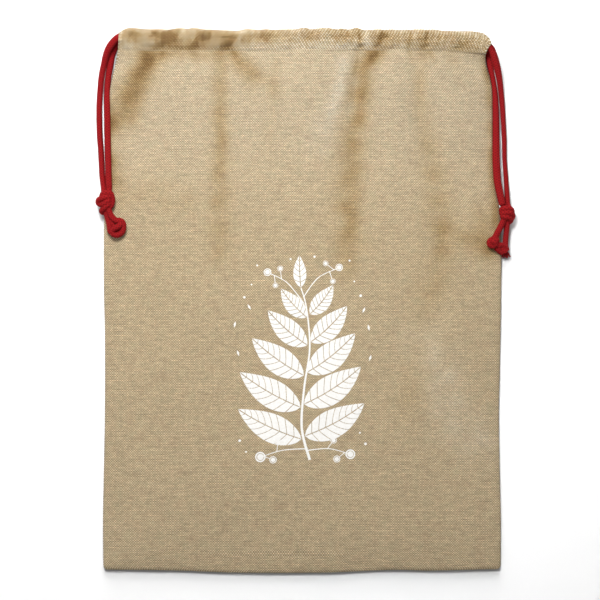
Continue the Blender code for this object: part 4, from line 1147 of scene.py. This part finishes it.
# Materials
class Graph:
    """Short ways to make and join shader nodes."""

    def __init__(self, name):
        self.material = bpy.data.materials.new(name)
        self.material.use_nodes = True
        self.tree = self.material.node_tree
        self.shader = self.tree.nodes["Principled BSDF"]

    def node(self, kind, **settings):
        made = self.tree.nodes.new(kind)
        for key, value in settings.items():
            setattr(made, key, value)
        return made

    def put(self, socket, value):
        if isinstance(value, bpy.types.NodeSocket):
            self.tree.links.new(value, socket)
        else:
            socket.default_value = value

    def math(self, operation, *values):
        made = self.node("ShaderNodeMath", operation=operation)
        for socket, value in zip(made.inputs, values):
            self.put(socket, value)
        return made.outputs[0]

    def times(self, a, b):
        return self.math("MULTIPLY", a, b)

    def plus(self, a, b):
        return self.math("ADD", a, b)

    def minus(self, a, b):
        return self.math("SUBTRACT", a, b)

    def mix(self, factor, a, b, kind="MIX"):
        made = self.node("ShaderNodeMix", data_type="RGBA", blend_type=kind)
        self.put(made.inputs["Factor"], factor)
        for socket, value in zip([s for s in made.inputs if s.type == "RGBA"], (a, b)):
            self.put(socket, value)
        return next(s for s in made.outputs if s.type == "RGBA")

    def attribute(self, name):
        made = self.node("ShaderNodeAttribute", attribute_name=name)
        return made.outputs["Vector"]

    def split(self, vector):
        made = self.node("ShaderNodeSeparateXYZ")
        self.put(made.inputs[0], vector)
        return made.outputs

    def join(self, x, y, z=0.0):
        made = self.node("ShaderNodeCombineXYZ")
        for socket, value in zip(made.inputs, (x, y, z)):
            self.put(socket, value)
        return made.outputs[0]

    def noise(self, vector, scale, detail=2.0, rough=0.5):
        made = self.node("ShaderNodeTexNoise")
        self.put(made.inputs["Vector"], vector)
        made.inputs["Scale"].default_value = scale
        made.inputs["Detail"].default_value = detail
        made.inputs["Roughness"].default_value = rough
        return made.outputs["Fac"]

    def random(self, vector):
        made = self.node("ShaderNodeTexWhiteNoise", noise_dimensions="3D")
        self.put(made.inputs["Vector"], vector)
        return made.outputs["Value"]

    def spread(self, value, low, high, to_low=0.0, to_high=1.0, smooth=False):
        made = self.node("ShaderNodeMapRange", clamp=True,
                         interpolation_type="SMOOTHSTEP" if smooth else "LINEAR")
        self.put(made.inputs["Value"], value)
        for name, number in (("From Min", low), ("From Max", high),
                             ("To Min", to_low), ("To Max", to_high)):
            made.inputs[name].default_value = number
        return made.outputs["Result"]

    def surface(self, base, numbers):
        """The base colour, and numbers that are the same all over."""
        self.put(self.shader.inputs["Base Color"], base)
        for name, number in numbers.items():
            self.shader.inputs[name].default_value = number

    def bump(self, height, strength, distance):
        made = self.node("ShaderNodeBump")
        self.put(made.inputs["Height"], height)
        made.inputs["Strength"].default_value = strength
        made.inputs["Distance"].default_value = distance
        self.put(self.shader.inputs["Normal"], made.outputs[0])


Weave = namedtuple("Weave", "height warp_shows slub weft_slub speck paired long_slub")


def weave(g, place):
    """A plain weave: the height of its yarns, where the warp shows, and its uneven tones."""
    u, v, _ = g.split(place)
    drift = g.noise(place, 14.0, 2.0)
    wander = g.times(g.minus(drift, 0.5), 0.0016)
    across = g.math("DIVIDE", g.plus(u, wander), YARN)
    upward = g.math("DIVIDE", g.plus(v, wander), YARN)
    warp_sine = g.math("SINE", g.times(across, math.pi))
    weft_sine = g.math("SINE", g.times(upward, math.pi))
    warp_round = g.math("ABSOLUTE", warp_sine)
    weft_round = g.math("ABSOLUTE", weft_sine)
    over_under = g.times(warp_sine, weft_sine)
    warp_shows = g.spread(over_under, -0.1, 0.1)
    warp_high = g.times(g.math("POWER", warp_round, 0.9),
                       g.math("POWER", weft_round, 0.45))
    weft_high = g.times(g.math("POWER", weft_round, 0.9),
                       g.math("POWER", warp_round, 0.45))
    height = g.plus(g.times(warp_shows, warp_high),
                    g.times(g.minus(1.0, warp_shows), weft_high))
    warp_yarn = g.math("FLOOR", across)
    weft_yarn = g.math("FLOOR", upward)
    # each yarn has its own tone, which drifts slowly along it: slubs
    warp_slub = g.noise(g.join(g.times(warp_yarn, 7.31), g.times(v, 55.0)),
                        1.0, 2.0, 0.6)
    weft_slub = g.noise(g.join(g.times(u, 75.0), g.times(weft_yarn, 9.17)),
                        1.0, 2.0, 0.6)
    slub = g.plus(g.times(warp_shows, warp_slub),
                  g.times(g.minus(1.0, warp_shows), weft_slub))
    speck = g.random(g.join(warp_yarn, weft_yarn))
    # every other weft yarn is a little lighter, more so in some places
    uneven = g.spread(g.noise(place, 26.0, 2.0), 0.35, 0.65, 0.3, 1.0)
    paired = g.times(weft_sine, uneven)
    long_slub = g.noise(g.join(g.times(u, 24.0), g.times(weft_yarn, 5.31)),
                        1.0, 1.0, 0.5)
    return Weave(height, warp_shows, slub, weft_slub, speck, paired, long_slub)


BURLAP_WARP = (0.672, 0.594, 0.45, 1.0)
BURLAP_WEFT_SHADED = (0.393, 0.277, 0.137, 1.0)
BURLAP_GAP_SHADE = (0.16, 0.094, 0.036, 1.0)
BURLAP_RED = (0.443, 0.314, 0.207, 1.0)
BURLAP_GREEN = (0.4, 0.371, 0.236, 1.0)
BURLAP_FOOT_SHADE_TINT = (0.958, 0.928, 0.865, 1.0)
UNCHANGED = (1.0, 1.0, 1.0, 1.0)


def burlap(name, whole):
    """Natural jute cloth, coarse and a little uneven."""
    g = Graph(name)
    # cloth_place holds the place on the flat cloth and the painted shade
    across, upward, painted_shade = g.split(g.attribute("cloth_place"))
    place = g.join(across, upward)
    woven = weave(g, place)
    warp, weft, gap = [(red * whole, green * whole, blue * whole, 1.0)
                       for red, green, blue, _ in (BURLAP_WARP, BURLAP_WEFT_SHADED, BURLAP_GAP_SHADE)]
    # painted shade: the weft yarns are darker than the warp, as the light from the top leaves their
    # lower sides in shade
    base = g.mix(woven.warp_shows, weft, warp)
    # painted shade in the gaps between the yarns
    base = g.mix(g.spread(woven.height, 0.0, 0.4, 0.75, 0.0), base, gap)
    tint = g.noise(place, 75.0, 2.0, 0.5)
    base = g.mix(g.spread(tint, 0.52, 0.72, 0.0, 0.34), base, BURLAP_RED)
    base = g.mix(g.spread(tint, 0.48, 0.28, 0.0, 0.24), base, BURLAP_GREEN)
    tone_of_yarn = g.spread(woven.slub, 0.28, 0.72, 0.93, 1.06)
    streak = g.spread(woven.weft_slub, 0.28, 0.72, 0.84, 1.15)
    grain = g.spread(woven.speck, 0.0, 1.0, 0.89, 1.11)
    tone = g.times(tone_of_yarn, g.times(streak, grain))
    tone = g.times(tone, g.plus(1.0, g.times(woven.paired, 0.115)))
    tone = g.times(tone, g.spread(woven.long_slub, 0.64, 0.76, 1.0, 1.13))
    tone = g.times(tone, g.spread(woven.long_slub, 0.36, 0.24, 1.0, 0.88))
    base = g.mix(1.0, base, g.join(tone, tone, tone), "MULTIPLY")
    # the painted shade is deepest in the gaps between the yarns
    lost = g.times(painted_shade, g.spread(woven.height, 0.0, 1.0, 1.75, 0.55))
    lit = g.math("MAXIMUM", g.minus(1.0, lost), 0.05)
    # the painted shade takes more blue than red, so it is warmer
    shade = g.join(g.math("POWER", lit, 0.7), lit, g.math("POWER", lit, 1.6))
    base = g.mix(1.0, base, shade, "MULTIPLY")
    # painted shade tint: the cloth is a little warmer towards its foot, where the light is weaker
    above_foot = g.spread(upward, 0.4, 0.6, smooth=True)
    base = g.mix(1.0, base, g.mix(above_foot, BURLAP_FOOT_SHADE_TINT, UNCHANGED), "MULTIPLY")
    g.surface(base, {"Roughness": 0.92, "Specular IOR Level": 0.15, "Sheen Weight": 0.12,
                     "Sheen Roughness": 0.5})
    fibre = g.noise(place, 2600.0, 2.0, 0.6)
    relief = g.plus(g.times(woven.height, 0.8), g.times(fibre, 0.25))
    relief = g.plus(relief, g.times(woven.weft_slub, 0.5))
    g.bump(relief, 0.75, 0.0005)
    return g.material


INK_DULL = (0.93, 0.915, 0.885, 1.0)
INK_BRIGHT = (0.99, 0.985, 0.965, 1.0)
INK_BARE = (0.5, 0.39, 0.24, 1.0)
THREAD_GROOVE_SHADE = (0.44, 0.345, 0.21, 1.0)
THREAD_LIGHT = (0.56, 0.46, 0.305, 1.0)
THREAD_TWIST = 0.0007
CORD_GROOVE_SHADE = (0.115, 0.002, 0.003, 1.0)
CORD_RED = (0.31, 0.007, 0.009, 1.0)
CORD_FUZZ = (0.42, 0.022, 0.024, 1.0)


def white_ink(name):
    """Thick white ink that leaves the deepest parts of the weave bare."""
    g = Graph(name)
    place = g.attribute("cloth_place")
    woven = weave(g, place)
    worn = g.noise(place, 300.0, 2.0, 0.6)
    bare = g.times(g.spread(woven.height, 0.0, 0.45, 0.55, 0.0),
                  g.spread(worn, 0.3, 0.7, 0.5, 1.0))
    base = g.mix(g.spread(woven.speck, 0.0, 1.0), INK_DULL, INK_BRIGHT)
    base = g.mix(bare, base, INK_BARE)
    g.surface(base, {"Roughness": 0.7, "Specular IOR Level": 0.2})
    g.bump(woven.height, 0.35, 0.0005)
    return g.material


def thread(name):
    """Pale twisted sewing thread."""
    g = Graph(name)
    turn, run, _ = g.split(g.attribute("cord_place"))
    twist = g.math("SINE", g.plus(g.times(turn, 4.0 * math.pi),
                                  g.times(run, 2.0 * math.pi / THREAD_TWIST)))
    # painted shade: the grooves of the twist are darker
    base = g.mix(g.spread(twist, -1.0, 1.0), THREAD_GROOVE_SHADE, THREAD_LIGHT)
    g.surface(base, {"Roughness": 0.8})
    g.bump(twist, 0.4, 0.0001)
    return g.material


def red_cord(name):
    """A soft cord knitted of fine red yarn."""
    g = Graph(name)
    turn, run, _ = g.split(g.attribute("cord_place"))
    around = g.times(turn, KNIT_YARNS * 2.0 * math.pi)
    ahead = g.times(run, 2.0 * math.pi / KNIT_PITCH)
    one = g.math("SINE", g.plus(around, ahead))
    other = g.math("SINE", g.minus(around, ahead))
    stands = g.math("MAXIMUM", one, other)
    fuzz = g.noise(g.node("ShaderNodeTexCoord").outputs["Object"], 1500.0, 2.0, 0.6)
    # painted shade: the grooves between the knit's yarns are darker
    tone = g.spread(stands, -0.3, 0.95)
    base = g.mix(tone, CORD_GROOVE_SHADE, CORD_RED)
    base = g.mix(g.spread(fuzz, 0.35, 0.7, 0.0, 0.35), base, CORD_FUZZ)
    g.surface(base, {"Roughness": 0.85, "Specular IOR Level": 0.12})
    g.bump(g.plus(stands, g.times(fuzz, 0.7)), 0.6, 0.0003)
    return g.material


front.data.materials.append(burlap("burlap_front", 1.0))
# the back's burlap is the front's a little darker: painted shade
back.data.materials.append(burlap("burlap_rear", 0.95))
ink.data.materials.append(white_ink("white_ink"))
seam = stitches("casing_stitches")
seam.data.materials.append(thread("sewing_thread"))
red = red_cord("red_knitted_cord")
for piece, knot, _, _ in cords.values():
    piece.data.materials.append(red)
    knot.data.materials.append(red)

# The floor and the light
floor_mesh = bpy.data.meshes.new("floor")
floor_mesh.from_pydata([(-6, -6, 0), (6, -6, 0), (6, 6, 0), (-6, 6, 0)], [], [(0, 1, 2, 3)])
floor = add("floor", floor_mesh)
floor_look = Graph("floor")
floor_look.surface((0.475, 0.475, 0.475, 1.0), {"Roughness": 0.9})
floor.data.materials.append(floor_look.material)

world = bpy.data.worlds.new("studio")
bpy.context.scene.world = world
world.use_nodes = True
world.node_tree.nodes["Background"].inputs["Color"].default_value = (1.0, 1.0, 1.0, 1.0)
world.node_tree.nodes["Background"].inputs["Strength"].default_value = 0.28


def area_light(name, place, towards, size, power):
    data = bpy.data.lights.new(name, "AREA")
    data.shape = "RECTANGLE"
    data.size, data.size_y = size
    data.energy = power
    light = add(name, data)
    light.location = place
    light.rotation_mode = "QUATERNION"
    light.rotation_quaternion = (Vector(towards) - Vector(place)).to_track_quat("-Z", "Y")
    return light


area_light("key", (-0.28, 0.95, 1.35), (0.0, 0.1, 0.0), (0.6, 0.6), 31.5)
area_light("fill", (0.5, -0.6, 1.8), (0.0, 0.0, 0.0), (1.6, 1.6), 2.8)
# A low, tall light for the floor alone draws the soft shadow below the bag's foot
low = area_light("low", (-0.1, 3.2, 0.9), (0.0, -0.2, 0.0), (2.4, 1.7), 350.0)
lit_floor = bpy.data.collections.new("lit_floor")
lit_floor.objects.link(floor)
low.light_linking.receiver_collection = lit_floor
bpy.context.scene.view_settings.view_transform = "Standard"
bpy.context.scene.view_settings.look = "None"

# Each piece joins the root body, and the solids that it replaces are hidden
for side, (piece, knot, path, length) in cords.items():
    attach(piece, "root")
    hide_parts(f"drawcord_{side}")
    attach(knot, "root")
    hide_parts(f"knot_{side}")
for sheet, node, slot in ((front, "front_panel", "burlap"), (back, "back_panel", "burlap_back")):
    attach(sheet, "root")
    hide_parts(node)

for extra in (ink, seam):
    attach(extra, "root")
    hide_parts("front_panel")
